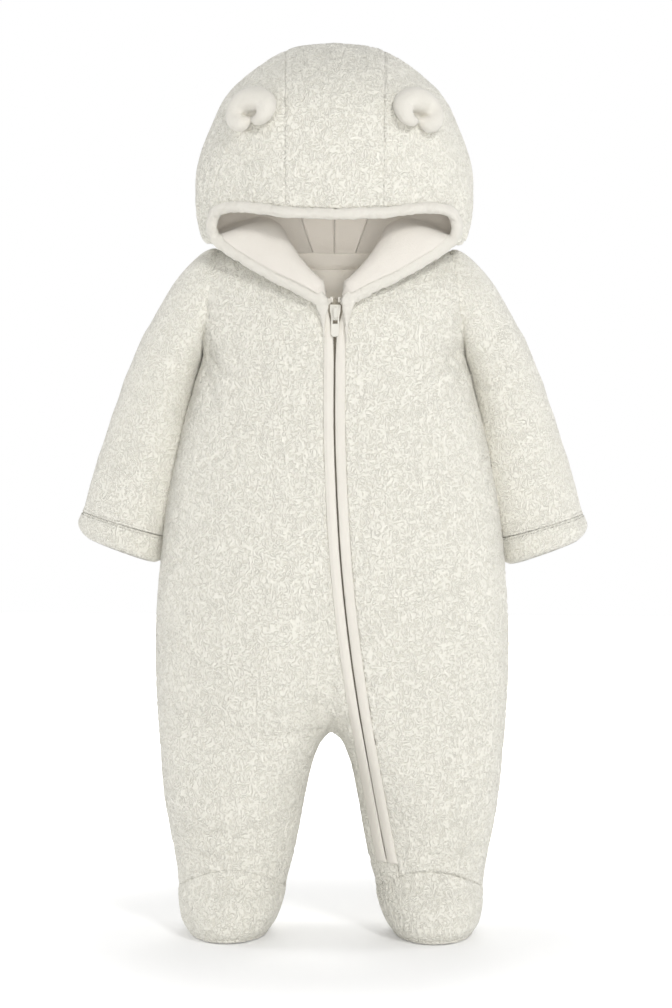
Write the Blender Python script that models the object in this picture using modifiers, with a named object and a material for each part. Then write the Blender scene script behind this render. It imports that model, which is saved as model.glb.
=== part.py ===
"""Baby's hooded all-in-one in pile fleece, filled out as if worn, with an asymmetric zip and feet.

Heights in the tables are millimetres above the soles, x is outward from the middle and depth is
forward (front) or backward (back) of the side seams. The model is in metres, +Z up, facing -Y,
with its origin in the middle of the neck at shoulder height, where the wearer holds it up.
"""
import math

import bmesh
import bpy
import numpy as np
from mathutils import Matrix, Vector

MM = 0.001

# Driving dimensions, in millimetres.
ORIGIN_HEIGHT = 545.0       # the wearer's shoulders, above the soles
FLEECE = 2.6                # thickness of the fleece wall
LINING = 1.0                # thickness of the smooth lining
BACK_LINING_GAP = 1.4       # between the back's fleece and the lining below the neck
TAPE_GAP = 1.15             # between the neck tape and the linings that it laps over
TAPE_LAP = 0.08             # how far the neck tape laps over the back lining, as a share of its first step
LINING_GAP = 2.0  # between the hood's fleece and its lining
SEAM_GAP = 0.3              # between pieces that are sewn together
SETBACK = 0.6               # how far an edge on the side seam or inseam stops short of it
TIGHT_SETBACK = 0.5         # and more than that on the shoulders and at the crotch
CROTCH_HEIGHT = 160.0
ARMPIT_HEIGHT = 463.0
SHOULDER_TIP_HEIGHT = 543.0
CHEST_HEIGHT = 478.0        # above this the body rounds over into the shoulders
RIDGE_HEIGHT = 550.0        # of the shoulder line at the neck
RIDGE_DROP = 7.0            # from the neck to the shoulder tip
NECK_HALF_WIDTH = 50.0
FRONT_NECK_HEIGHT = 508.0
BACK_NECK_HEIGHT = 538.0
TIP_HALF_WIDTH = 96.0       # of the shoulder tip
ARMPIT_HALF_WIDTH = 104.5
FOOT_SEAM_SIDE = 38.0       # height of the instep seam at the side of the foot
FOOT_SEAM_RISE = 18.0       # how much higher that seam is in the middle
WALL_FOOT = 3.0             # height where the foot's walls end, just above the sole
SIDE_ROUNDNESS = 2.2        # exponent of the body's rounded sections
BACK_SHOULDER_ROUNDNESS = 3.0
CROTCH_SOFTNESS = 300.0     # mm2, how gently the crease above the crotch fades
LEG_BLEND = (173.0, 95.0)   # heights between which the body's section becomes two legs

ZIP_STRIP_INNER = 0.9       # half of the gap that shows the coil
ZIP_STRIP_OUTER = 7.8
ZIP_OPEN_HALF = 4.9         # how much the strips' inner edges part beside the slider
ZIP_OPEN_OUTER = 1.2        # and their outer edges
ZIP_OPEN_HEIGHTS = (474.0, 498.0)
ZIP_TOP = 507.0
ZIP_BOTTOM = 66.0
STRIP = 1.6
TAPE = 0.8
TAPE_HALF_WIDTH = 6.6
TAPE_DEPTH = 5.3            # the tape's face, below the fleece's face
COIL_RADIUS = 1.0
COIL_DEPTH = 3.6
PATCH_HALF_WIDTH = 7.2

SLIDER_HEIGHT = 492.0       # middle of the slider
SLIDER_FACE = 1.9           # how far its plate stands out of the fleece
SLIDER_PLATE = 2.8
SLIDER_OUTLINE = ((-4.3, 6.3), (-4.3, 1.5), (-2.5, -6.0), (2.5, -6.0), (4.3, 1.5), (4.3, 6.3))
BRIDGE_TOP, BRIDGE_FOOT = 4.2, -5.2
BRIDGE_BAR, BRIDGE_WIDTH, BRIDGE_ROOM = 1.1, 2.4, 1.9
PULL_WIDTH, PULL_LENGTH, PULL_THICK = 6.3, 16.4, 1.2
EYE_WIDTH, EYE_LENGTH = 3.8, 5.2
HINGE_HEIGHT = -3.2         # of the pull's hinge, from the middle of the slider
HINGE_FORWARD = 0.95        # of the pull's hinge, from the face of the plate
STOP_SIZE = (2.6, 4.4, 4.4)
STOP_HEIGHT = 502.2
STOP_SIDE = 3.1

EAR_PLACE = (63.5, 646.0)   # x and height of an ear's middle
EAR_PATH = (16.5, 9.0)      # half width and half height of the middle of its roll
EAR_RADIUS = 7.2
SOLE = 2.6

HEM_RADIUS = 4.6            # the rolled hem round the face

# height, half width, front depth, back depth of the body, legs and heels
BODY = np.array([
    (560, 125.0, 58.0, 54.0),
    (520, 121.5, 58.0, 54.0),
    (500, 117.5, 59.0, 54.0),
    (480, 110.0, 60.0, 54.0),
    (463, 104.5, 62.0, 55.0),
    (440, 109.5, 65.0, 57.0),
    (405, 119.0, 69.0, 60.0),
    (350, 130.5, 73.0, 64.0),
    (300, 136.5, 76.0, 68.0),
    (235, 140.5, 76.0, 73.0),
    (170, 138.5, 70.0, 70.0),
    (145, 136.5, 66.0, 66.0),
    (100, 132.0, 56.0, 55.0),
    (67, 125.5, 48.0, 46.0),
    (45, 122.0, 46.0, 43.0),
    (30, 121.0, 46.0, 42.5),
    (20, 119.0, 46.0, 41.5),
    (10, 115.0, 46.0, 39.0),
    (3, 110.0, 46.0, 35.0),
])
# height, half of the gap between the legs
LEG_GAP = np.array([
    (150, 10.4),
    (140, 14.2),
    (123, 18.4),
    (100, 22.8),
    (78, 26.8),
    (56, 31.6),
    (45, 34.8),
    (30, 37.0),
    (20, 40.0),
    (10, 44.5),
    (3, 49.5),
])
# height, how far the toe stands forward of the side seam
TOE = np.array([(58, 46.5), (50, 48.5), (40, 53.5), (28, 59.5), (16, 63.0), (8, 62.5), (3, 59.0)])
# height, x of the zip line, which runs down into the wearer's left leg
ZIP_LINE = np.array([
    (520, 1.4),
    (450, 0.8),
    (400, 0.9),
    (350, 2.2),
    (300, 4.8),
    (250, 10.0),
    (200, 17.0),
    (150, 25.5),
    (100, 34.8),
    (60, 43.0),
    (35, 48.5),
])
# height, x of the line where the wearer's right front is joined up from two grids
MIDDLE_LINE = np.array([(520, -15.0), (400, -15.0), (300, -12.0), (230, -6.0), (163, 0.0)])
# outer x and height, inner x and height, half depth, middle depth behind the side seam
SLEEVE = np.array([
    (106.5, 536.5, 109.5, 458.0, 33.0, 2.0),
    (123.0, 519.0, 112.0, 453.0, 34.0, 4.0),
    (138.0, 495.0, 113.5, 446.0, 34.0, 7.0),
    (152.0, 470.0, 114.5, 435.0, 33.5, 10.0),
    (164.0, 442.0, 115.5, 416.0, 33.0, 12.0),
    (174.5, 412.0, 117.0, 391.0, 32.0, 14.0),
    (184.0, 384.0, 118.5, 364.0, 31.0, 16.0),
    (192.3, 357.0, 125.0, 338.0, 30.0, 17.0),
    (198.2, 334.0, 132.5, 315.0, 29.0, 18.0),
])
CUFF = np.array([
    (199.0, 333.2, 133.2, 314.3, 29.8, 18.0),
    (201.5, 323.5, 136.5, 304.5, 30.4, 18.5),
    (197.8, 314.0, 140.0, 296.5, 29.2, 19.0),
])
SLEEVE_CLEARANCE = 4.2      # between a sleeve and the body that it hangs against

# One row for each section of the hood, from the top of the zip round to the crown: the angle round
# the neck where it is sewn, five points on the fleece, and the middle of the hem. x, depth, height.
HOOD = [
    (12, (10.2, -57.0, 509), (9.4, -58.5, 511), (9.6, -60.5, 511), (10.8, -61.5, 508), (11.3, -61.5, 505.5), (11.5, -61, 502)),
    (28, (20.5, -56.0, 515), (18.5, -58.0, 519), (20.3, -60.5, 519.5), (24.0, -61.0, 517.5), (27.0, -60.5, 515.5), (29.5, -59.5, 512)),
    (48, (32.0, -51.5, 525), (29.0, -54.0, 531), (33.0, -57.5, 531.5), (39.0, -58.0, 529), (44.0, -57.0, 525.5), (48.5, -55, 521.5)),
    (68, (41.0, -41.0, 538), (37.5, -46.5, 544), (42.0, -51.0, 545.5), (51.0, -52.5, 543.5), (61.0, -51.0, 539), (70, -48, 534)),
    (85, (47.0, -25.0, 550), (44.0, -35.0, 556), (50.0, -41.0, 558), (63.0, -43.5, 556), (77.0, -43.5, 551), (88.5, -41.5, 546.5)),
    (98, (50.0, -6.0, 557), (52.0, -17.0, 563), (64.0, -21.0, 562), (84.0, -21.0, 554), (99.0, -23.0, 547), (95.0, -38, 555)),
    (110, (52.0, 9.0, 559), (59.0, 0.0, 565), (76.0, -3.0, 560), (98.0, -4.0, 555), (107.0, -15.0, 563), (94.5, -39, 565)),
    (122, (49.0, 22.0, 558), (64.0, 18.0, 564), (87.0, 15.0, 564), (107.0, 8.0, 576), (107.5, -17.0, 586), (89.0, -45, 571.5)),
    (134, (45.0, 33.0, 556), (65.0, 37.0, 565), (94.0, 30.0, 584), (109.0, 4.0, 606), (99.0, -29.0, 605), (75.5, -56, 573)),
    (145, (38.0, 43.0, 555), (60.0, 55.0, 574), (86.0, 48.0, 610), (98.5, 6.0, 640), (84.0, -43.0, 626), (58.0, -66, 571)),
    (153, (31.0, 49.0, 554), (48.0, 67.0, 582), (72.0, 60.0, 632), (80.5, 6.0, 672), (67.0, -55.0, 642), (46.0, -71.5, 569)),
    (160, (22.0, 53.0, 553), (31.5, 75.0, 588), (38.5, 68.0, 650), (39.0, 6.0, 701.5), (38.5, -62.0, 657), (37.5, -74.5, 567.5)),
    (180, (0.0, 55.0, 552), (0.0, 79.0, 589), (0.0, 71.0, 652), (0.0, 6.0, 707.5), (0.0, -66.0, 662), (0.0, -78, 566)),
]
HOOD_SEAM_HALF = 0.45       # half of the gap between the hood's panels
HOOD_SEAM_ROW = 11          # the row of HOOD where side and centre panels are sewn

COLOURS = {
    "fleece": (0.86, 0.84, 0.78, 1.0),
    "lining": (0.80, 0.78, 0.72, 1.0),
    "facing": (0.87, 0.86, 0.81, 1.0),
    "tape": (0.72, 0.70, 0.63, 1.0),
    "plastic": (0.88, 0.86, 0.80, 1.0),
}


# ---------------------------------------------------------------- curves

def eased(table, column, at):
    """A column of a table at the heights `at`, on a smooth curve through its rows."""
    table = table[np.argsort(table[:, 0])]
    x, y = table[:, 0], table[:, column]
    at = np.clip(np.asarray(at, float), x[0], x[-1])
    chord = np.diff(y) / np.diff(x)
    slope = np.empty_like(y)
    slope[0], slope[-1] = chord[0], chord[-1]
    slope[1:-1] = (chord[:-1] * np.diff(x)[1:] + chord[1:] * np.diff(x)[:-1]) / (x[2:] - x[:-2])
    i = np.clip(np.searchsorted(x, at) - 1, 0, len(x) - 2)
    step = x[i + 1] - x[i]
    t = (at - x[i]) / step
    return (y[i] * (1 + 2 * t) * (1 - t) ** 2 + slope[i] * step * t * (1 - t) ** 2
            + y[i + 1] * t * t * (3 - 2 * t) + slope[i + 1] * step * t * t * (t - 1))


def through(points, count):
    """`count` points on a Catmull-Rom curve through the given ones, the same number between each."""
    points = np.asarray(points, float)
    ends = np.concatenate([[2 * points[0] - points[1]], points, [2 * points[-1] - points[-2]]])
    at = np.linspace(0, len(points) - 1, count)
    i = np.minimum(at.astype(int), len(points) - 2)
    t = (at - i).reshape((-1,) + (1,) * (points.ndim - 1))
    a, b, c, d = ends[i], ends[i + 1], ends[i + 2], ends[i + 3]
    return 0.5 * (2 * b + (c - a) * t + (2 * a - 5 * b + 4 * c - d) * t ** 2
                  + (3 * b - a - 3 * c + d) * t ** 3)


def evenly(points, count):
    """`count` points at equal steps along a line of many points."""
    points = np.asarray(points, float)
    run = np.concatenate([[0], np.cumsum(np.linalg.norm(np.diff(points, axis=0), axis=1))])
    at = np.linspace(0, run[-1], count)
    return np.stack([np.interp(at, run, points[:, k]) for k in range(points.shape[1])], axis=1)


# ---------------------------------------------------------------- the body's form

def gap_squared(height):
    """Square of half the gap between the legs. It is negative above the crotch, where they join."""
    below = eased(LEG_GAP, 1, height) ** 2
    near = 10.8 * (CROTCH_HEIGHT - np.asarray(height, float))
    return np.where(np.asarray(height) > LEG_GAP[0, 0], near, below)


def leg_gap(height):
    return np.sqrt(np.maximum(gap_squared(height), 0))


def ridge(x):
    """Height of the shoulder line."""
    return RIDGE_HEIGHT - RIDGE_DROP * (np.abs(x) / TIP_HALF_WIDTH) ** 2


def depth(x, height, face):
    """How far the body's surface stands from the plane of the side seams, front or back."""
    x, height = np.abs(np.asarray(x, float)), np.asarray(height, float)
    half = eased(BODY, 1, height)
    full = eased(BODY, 2 if face == "front" else 3, height)
    outer = np.maximum(1 - (x / half) ** SIDE_ROUNDNESS, 0) ** (1 / SIDE_ROUNDNESS)
    room = np.maximum(x ** 2 - gap_squared(height), 0)
    body = outer * np.sqrt(room / (room + CROTCH_SOFTNESS))
    gap = leg_gap(height)
    middle, reach = (half + gap) / 2, np.maximum((half - gap) / 2, 1e-6)
    leg = np.sqrt(np.maximum(1 - ((x - middle) / reach) ** 2, 0))
    share = np.clip((LEG_BLEND[0] - height) / (LEG_BLEND[0] - LEG_BLEND[1]), 0, 1)
    share = share * share * (3 - 2 * share)
    up = np.clip((height - CHEST_HEIGHT) / (ridge(x) - CHEST_HEIGHT), 0, 1)
    power = 2.0 if face == "front" else BACK_SHOULDER_ROUNDNESS
    shoulder = (1 - up ** power) ** (1 / power)
    return full * shoulder * ((1 - share) * body + share * leg)


def on_body(x, height, face, out=0.0):
    """Points on the body's surface, with its edges set back from the seams."""
    x, height = np.asarray(x, float), np.asarray(height, float)
    tight = (height > ARMPIT_HEIGHT) | (np.abs(height - CROTCH_HEIGHT) < 12) & (np.abs(x) < 12)
    away = np.maximum(depth(x, height, face), SETBACK + np.where(tight, TIGHT_SETBACK, 0)) + out
    return np.stack([x, -away if face == "front" else away, height], axis=-1)


def armhole_x(height):
    share = (SHOULDER_TIP_HEIGHT - height) / (SHOULDER_TIP_HEIGHT - ARMPIT_HEIGHT)
    return TIP_HALF_WIDTH + (ARMPIT_HALF_WIDTH - TIP_HALF_WIDTH) * share


def neck_point(angle, face):
    """x and height of the neck seam, at an angle from its front (0) or its back (180) to its side (90)."""
    turn = math.radians(angle)
    low = FRONT_NECK_HEIGHT if face == "front" else BACK_NECK_HEIGHT
    side = ridge(NECK_HALF_WIDTH)
    return NECK_HALF_WIDTH * math.sin(turn), low + (side - low) * (1 - abs(math.cos(turn))) ** 1.1


def zip_x(height):
    return eased(ZIP_LINE, 1, height)


def parting(height):
    """0 where the zip is closed, 1 beside the slider and above it."""
    low, high = ZIP_OPEN_HEIGHTS
    share = np.clip((np.asarray(height, float) - low) / (high - low), 0, 1)
    return share * share * (3 - 2 * share)


def strip_edge(height, share):
    """Distance from the zip line across a strip, from its inner edge (0) to its outer edge (1)."""
    inner = ZIP_STRIP_INNER + ZIP_OPEN_HALF * parting(height)
    outer = ZIP_STRIP_OUTER + ZIP_OPEN_OUTER * parting(height)
    return inner + (outer - inner) * share


def panel_edge(height):
    """Distance from the zip line to the fleece."""
    return ZIP_STRIP_OUTER + 0.5 + ZIP_OPEN_OUTER * parting(height)


# ---------------------------------------------------------------- grids of cloth

ARMHOLE_STEPS, BODY_STEPS, LEG_STEPS = 7, 11, 7


def heights_of_armhole():
    middle = (SHOULDER_TIP_HEIGHT + ARMPIT_HEIGHT) / 2
    turn = np.linspace(0, math.pi, ARMHOLE_STEPS + 1)
    return middle + (SHOULDER_TIP_HEIGHT - middle) * np.cos(turn)


def row_ends(line, breaks, steps):
    """Points on a line at a given height, evenly spaced on the surface between the break heights."""
    found = []
    for (top, low), count in zip(zip(breaks[:-1], breaks[1:]), steps):
        dense = np.linspace(0, 1, 200)
        height = top + (low - top) * np.sin(dense * math.pi / 2) if low == CROTCH_HEIGHT else (
            top + (low - top) * (1 - np.cos(dense * math.pi / 2)) if top == CROTCH_HEIGHT
            else top + (low - top) * dense)
        spaced = evenly(line(height), count + 1)
        found.append(spaced if not found else spaced[1:])
    return np.concatenate(found)


def side_line(bottom):
    """x and height down the armhole and side seam, one for each row."""
    arm = heights_of_armhole()
    lower = np.concatenate([
        np.linspace(ARMPIT_HEIGHT, CROTCH_HEIGHT + 12, BODY_STEPS + 1)[1:],
        np.linspace(CROTCH_HEIGHT + 12, bottom, LEG_STEPS + 1)[1:]])
    return np.stack([np.concatenate([armhole_x(arm), eased(BODY, 1, lower)]),
                     np.concatenate([arm, lower])], axis=1)


def inner_line(x_above, face, top, bottom, sign):
    """x and height down the middle of the body and then down an inseam, one for each row."""
    def line(height):
        x = np.where(height >= CROTCH_HEIGHT, x_above(height), sign * leg_gap(height))
        return np.stack([x, depth(x, height, face), height], axis=1)
    breaks = (top, top - 82.0, CROTCH_HEIGHT, bottom)
    return row_ends(line, breaks, (ARMHOLE_STEPS, BODY_STEPS, LEG_STEPS))[:, [0, 2]]


def patch(side, inner, top, bottom):
    """x and height of a grid between two long lines, bent to meet its top and bottom lines."""
    count = len(top)
    share = (1 - np.cos(np.linspace(0, math.pi, count))) / 2
    v = np.linspace(0, 1, len(side))
    straight = side[:, None] * (1 - share[None, :, None]) + inner[:, None] * share[None, :, None]
    at_top = np.clip(1 - v / 0.32, 0, 1) ** 2
    at_bottom = np.clip((v - 0.8) / 0.2, 0, 1) ** 2
    return (straight + at_top[:, None, None] * (top - straight[0])[None]
            + at_bottom[:, None, None] * (bottom - straight[-1])[None])


def top_line(face, x_end, columns):
    """From the shoulder tip along the shoulder seam, then along the neck to x_end."""
    along = max(2, round(columns * 0.4))
    shoulder_x = np.linspace(TIP_HALF_WIDTH, NECK_HALF_WIDTH, along + 1)
    last = math.degrees(math.asin(abs(x_end) / NECK_HALF_WIDTH))
    neck = [neck_point(a, face) for a in np.linspace(90, last, columns - along + 1)[1:]]
    return np.concatenate([np.stack([shoulder_x, ridge(shoulder_x)], axis=1), neck])


def foot_seam(x, height_side=FOOT_SEAM_SIDE):
    """Height of the instep seam."""
    outer, inner = float(eased(BODY, 1, height_side)), float(leg_gap(height_side))
    across = np.clip((np.abs(x) - (outer + inner) / 2) / ((outer - inner) / 2), -1, 1)
    return height_side + FOOT_SEAM_RISE * (1 - across ** 2)


def instep_line(x_from, x_to, columns):
    share = (1 - np.cos(np.linspace(0, math.pi, columns + 1))) / 2
    x = x_from + (x_to - x_from) * share
    return np.stack([x, foot_seam(x)], axis=1)


def front_right_grids():
    """The wearer's right front: its own leg, and the strip that runs inside the left leg to the zip."""
    columns, strip_columns = 10, 2
    side = side_line(FOOT_SEAM_SIDE) * (-1, 1)
    middle = inner_line(lambda h: eased(MIDDLE_LINE, 1, h), "front",
                        neck_height(15.0), FOOT_SEAM_SIDE, -1)
    top = top_line("front", 15.0, columns) * (-1, 1)
    main = patch(side, middle, top, instep_line(side[-1, 0], middle[-1, 0], columns))
    inseam = inner_line(lambda h: eased(MIDDLE_LINE, 1, h), "front",
                        neck_height(15.0), FOOT_SEAM_SIDE, 1)
    edge = zip_edge_line(-1, inseam[:, 1])
    edge[-1, 1] = foot_seam(edge[-1, 0])
    share = (1 - np.cos(np.linspace(0, math.pi, strip_columns + 1))) / 2
    strip = inseam[:, None] * (1 - share[None, :, None]) + edge[:, None] * share[None, :, None]
    strip[-1, :, 1] = foot_seam(strip[-1, :, 0])
    return [on_body(g[..., 0], g[..., 1], "front") for g in (main, strip)]


def neck_height(x):
    angle = math.degrees(math.asin(min(1.0, abs(x) / NECK_HALF_WIDTH)))
    return float(neck_point(angle, "front")[1])


def zip_edge_line(sign, heights):
    """x and height of the fleece's edge beside the zip."""
    return np.stack([zip_x(heights) + sign * panel_edge(heights), heights], axis=1)


def front_left_grid():
    columns = 9
    side = side_line(FOOT_SEAM_SIDE)
    start = float(zip_x(FRONT_NECK_HEIGHT) + panel_edge(FRONT_NECK_HEIGHT))
    rows = len(side)
    heights = np.concatenate([
        np.linspace(neck_height(start), 425.0, ARMHOLE_STEPS + 1),
        np.linspace(425.0, CROTCH_HEIGHT + 8, BODY_STEPS + 1)[1:],
        np.linspace(CROTCH_HEIGHT + 8, FOOT_SEAM_SIDE + 14, LEG_STEPS + 1)[1:]])
    edge = zip_edge_line(1, heights)
    edge[-1, 1] = foot_seam(edge[-1, 0])
    assert len(edge) == rows
    grid = patch(side, edge, top_line("front", start, columns),
                 instep_line(side[-1, 0], edge[-1, 0], columns))
    return on_body(grid[..., 0], grid[..., 1], "front")


def back_grid():
    """The right half of the back, mirrored afterwards, down to the heel."""
    columns = 9
    side = side_line(WALL_FOOT) * (-1, 1)
    middle = inner_line(lambda h: 0.0 * h, "back", BACK_NECK_HEIGHT, WALL_FOOT, -1)
    top = top_line("back", 0.0, columns) * (-1, 1)
    share = (1 - np.cos(np.linspace(0, math.pi, columns + 1))) / 2
    bottom = side[-1] * (1 - share[:, None]) + middle[-1] * share[:, None]
    grid = patch(side, middle, top, bottom)
    return on_body(grid[..., 0], grid[..., 1], "back")


def foot_grid():
    """The right foot's upper, from the instep seam round the toes to the sole."""
    columns, rows = 12, 5
    turn = np.linspace(0, math.pi, columns + 1)
    grid = []
    for v in np.linspace(0, 1, rows + 1):
        side = FOOT_SEAM_SIDE - 0.4 + (WALL_FOOT - FOOT_SEAM_SIDE + 0.4) * v
        height = side + FOOT_SEAM_RISE * np.sin(turn) ** 2 * (1 - v) ** 1.5
        outer, inner = eased(BODY, 1, height), leg_gap(height)
        x = -(outer + inner) / 2 - (outer - inner) / 2 * np.cos(turn)
        forward = np.maximum(eased(TOE, 1, height) * np.sin(turn) ** 0.9, SETBACK)
        grid.append(np.stack([x, -forward, height], axis=1))
    return np.array(grid)


def body_half_width(y, height):
    """Half width of the body's outer surface at a depth behind (+) or in front (-) of the side seams."""
    half = eased(BODY, 1, height)
    full = np.where(y > 0, eased(BODY, 3, height), eased(BODY, 2, height))
    share = np.minimum(np.abs(y) / full, 1)
    return half * (1 - share ** SIDE_ROUNDNESS) ** (1 / SIDE_ROUNDNESS)


def ring(row, turn):
    """One section across a sleeve: turn 0 is outer, pi is inner, and the front comes between them."""
    outer_x, outer_z, inner_x, inner_z, half_depth, middle = row
    reach = np.cos(turn)
    x = (outer_x + inner_x) / 2 + (outer_x - inner_x) / 2 * reach
    z = (outer_z + inner_z) / 2 + (outer_z - inner_z) / 2 * reach
    y = middle - half_depth * np.sin(turn)
    near = np.clip((ARMPIT_HEIGHT + 8 - z) / 16, 0, 1)
    clear = body_half_width(y, np.minimum(z, ARMPIT_HEIGHT)) + SLEEVE_CLEARANCE * near
    x = np.where(z < ARMPIT_HEIGHT + 8, np.maximum(x, clear), x)
    return np.stack([x, y, z], axis=1)


def armhole_ring(out):
    """The armhole's edge as the fronts and back leave it, moved outward."""
    heights = heights_of_armhole()
    front = on_body(armhole_x(heights), heights, "front")
    back = on_body(armhole_x(heights), heights, "back")[::-1]
    front[0, 1] = front[-1, 1] = 0
    loop = np.concatenate([front, back[1:-1]])
    low = (SHOULDER_TIP_HEIGHT - loop[:, 2]) / (SHOULDER_TIP_HEIGHT - ARMPIT_HEIGHT)
    loop[:, 0] += out + 1.6 * low ** 2
    return loop


def sleeve_grid():
    """The left sleeve, a tube from the armhole to the hem."""
    turn = np.linspace(0, 2 * math.pi, 2 * ARMHOLE_STEPS + 1)[:-1]
    rings = [armhole_ring(0.9)] + [ring(row, turn) for row in SLEEVE]
    return np.array(rings)


def cuff_grid():
    turn = np.linspace(0, 2 * math.pi, 2 * ARMHOLE_STEPS + 1)[:-1]
    return np.array([ring(row, turn) for row in CUFF])


def hood_net():
    """The hood's sections as points: neck seam, five points on the fleece, middle of the hem."""
    net = []
    for angle, *points in HOOD:
        face = "front" if angle < 90 else "back"
        x, height = neck_point(angle, face)
        away = float(depth(x, height, face))
        net.append([(x, -away if face == "front" else away, height + 1.8)] + list(points))
    return np.array(net, float)


def hood_grid(rows, stations, points, hem_room=7.3, offset=0.0):
    """The hood between two rows of its table, from the neck seam to just short of the hem."""
    net = hood_net()
    across = through(net, 12 * (len(net) - 1) + 1)
    picked = np.linspace(rows[0] * 12, rows[1] * 12, stations).round().astype(int)
    grid = []
    for section in across[picked]:
        line = through(section, 121)
        run = np.concatenate([[0], np.cumsum(np.linalg.norm(np.diff(line, axis=0), axis=1))])
        at = np.linspace(0, run[-1] - min(hem_room, run[-1] * 0.6), points)
        grid.append(np.stack([np.interp(at, run, line[:, k]) for k in range(3)], axis=1))
    grid = np.array(grid) * (-1, 1, 1)
    return moved_out(grid, offset, True) if offset else grid


def moved_out(grid, distance, flip=False):
    """A grid moved along its normals, further at its folds. `flip` is that of the cloth made of it."""
    faces = np.cross(grid[1:, 1:] - grid[:-1, :-1], grid[:-1, 1:] - grid[1:, :-1])
    faces /= np.maximum(np.linalg.norm(faces, axis=2, keepdims=True), 1e-9)
    total = np.zeros_like(grid)
    count = np.zeros(grid.shape[:2] + (1,))
    for rows in (slice(None, -1), slice(1, None)):
        for columns in (slice(None, -1), slice(1, None)):
            total[rows, columns] += faces
            count[rows, columns] += 1
    length = np.linalg.norm(total, axis=2, keepdims=True)
    stretch = np.minimum(count / length, 1.6)
    return grid + total / length * stretch * (-distance if flip else distance)


# ---------------------------------------------------------------- Blender objects

def start_again():
    for obj in list(bpy.data.objects):
        bpy.data.objects.remove(obj)
    garment = bpy.data.collections.new("hooded_all_in_one")
    bpy.context.scene.collection.children.link(garment)
    return garment


def material(name):
    found = bpy.data.materials.get(name)
    if found is None:
        found = bpy.data.materials.new(name)
        found.use_nodes = True
        shader = found.node_tree.nodes["Principled BSDF"]
        shader.inputs["Base Color"].default_value = COLOURS[name]
        shader.inputs["Roughness"].default_value = 0.35 if name == "plastic" else 0.95
        shader.inputs["Metallic"].default_value = 0.0
    return found


def place(points):
    """Table millimetres to model metres."""
    return (np.asarray(points, float) - (0, 0, ORIGIN_HEIGHT)) * MM


def add_grid(mesh, grid, flip=False, closed=False):
    """A grid of quads. The faces look along rows cross columns, or the other way if flipped."""
    rows, columns = grid.shape[:2]
    verts = [[mesh.verts.new(place(p)) for p in row] for row in grid]
    for r in range(rows - 1):
        for c in range(columns if closed else columns - 1):
            n = (c + 1) % columns
            corners = (verts[r][c], verts[r + 1][c], verts[r + 1][n], verts[r][n])
            mesh.faces.new(corners[::-1] if flip else corners)


def cloth(name, grids, thickness, look, flip=False, closed=False, mirror=False, split=0):
    """A wall of cloth: open grids whose faces look out, joined where they meet, and thickened inward."""
    mesh = bmesh.new()
    for grid in grids:
        add_grid(mesh, grid, flip, closed)
    bmesh.ops.remove_doubles(mesh, verts=mesh.verts, dist=0.02 * MM)
    data = bpy.data.meshes.new(name)
    mesh.to_mesh(data)
    mesh.free()
    obj = bpy.data.objects.new(name, data)
    GARMENT.objects.link(obj)
    data.materials.append(material(look))
    if mirror:
        halves = obj.modifiers.new("halves", "MIRROR")
        halves.use_axis[0] = True
        halves.use_clip = True
        halves.merge_threshold = 0.00005
    wall = obj.modifiers.new("wall", "SOLIDIFY")
    wall.thickness = thickness * MM
    wall.offset = -1
    wall.use_even_offset = True
    wall.use_quality_normals = True
    wall.thickness_clamp = 0
    data.shade_smooth()
    return obj


def mirrored(grid):
    return grid * (-1, 1, 1)


def tube(name, points, radius, look, resolution=2, radii=None):
    """A roll of cloth along a line of points, welded into one closed mesh."""
    curve = bpy.data.curves.new(name, "CURVE")
    curve.dimensions = "3D"
    curve.bevel_depth = radius * MM
    curve.bevel_resolution = resolution
    curve.use_fill_caps = True
    spline = curve.splines.new("POLY")
    spline.points.add(len(points) - 1)
    for i, p in enumerate(place(points)):
        spline.points[i].co = (*p, 1)
        spline.points[i].radius = 1 if radii is None else radii[i]
    curve.materials.append(material(look))
    obj = bpy.data.objects.new(name, curve)
    GARMENT.objects.link(obj)
    return obj


def build_body():
    cloth("front_right", front_right_grids(), FLEECE, "fleece")
    cloth("front_left", [front_left_grid()], FLEECE, "fleece", flip=True)
    cloth("back", [back_grid()], FLEECE, "fleece", flip=True, mirror=True)
    for side, turn in (("right", mirrored), ("left", lambda g: g)):
        right = side == "right"
        cloth(f"sleeve_{side}", [turn(sleeve_grid())], FLEECE, "fleece", flip=right, closed=True)
        cloth(f"cuff_{side}", [turn(cuff_grid())], FLEECE + 0.6, "fleece", flip=right, closed=True)
        foot = foot_grid() if right else mirrored(foot_grid())
        cloth(f"foot_{side}", [foot], FLEECE, "fleece", flip=not right)


def build_soles():
    """Flat soles just inside the foot of the walls."""
    turn = np.linspace(0, 2 * math.pi, 33)[:-1]
    outer, inner = float(eased(BODY, 1, WALL_FOOT)), float(leg_gap(WALL_FOOT))
    toe, heel = float(eased(TOE, 1, WALL_FOOT)), float(eased(BODY, 3, WALL_FOOT))
    middle, half = (outer + inner) / 2, (outer - inner) / 2
    for side, sign in (("right", -1), ("left", 1)):
        mesh = bmesh.new()
        y = np.where(np.sin(turn) > 0, -toe * np.abs(np.sin(turn)) ** 0.9, -heel * np.sin(turn))
        x = sign * middle + half * np.cos(turn)
        outline = place(np.stack([x, y, 0.0 * turn], axis=1))
        mesh.faces.new([mesh.verts.new(p) for p in outline])
        bmesh.ops.recalc_face_normals(mesh, faces=mesh.faces)
        if mesh.faces[:][0].normal.z > 0:
            bmesh.ops.reverse_faces(mesh, faces=mesh.faces)
        data = bpy.data.meshes.new(f"sole_{side}")
        mesh.to_mesh(data)
        mesh.free()
        data.materials.append(material("fleece"))
        obj = bpy.data.objects.new(f"sole_{side}", data)
        GARMENT.objects.link(obj)
        wall = obj.modifiers.new("wall", "SOLIDIFY")
        wall.thickness = SOLE * MM
        wall.offset = -1


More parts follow.
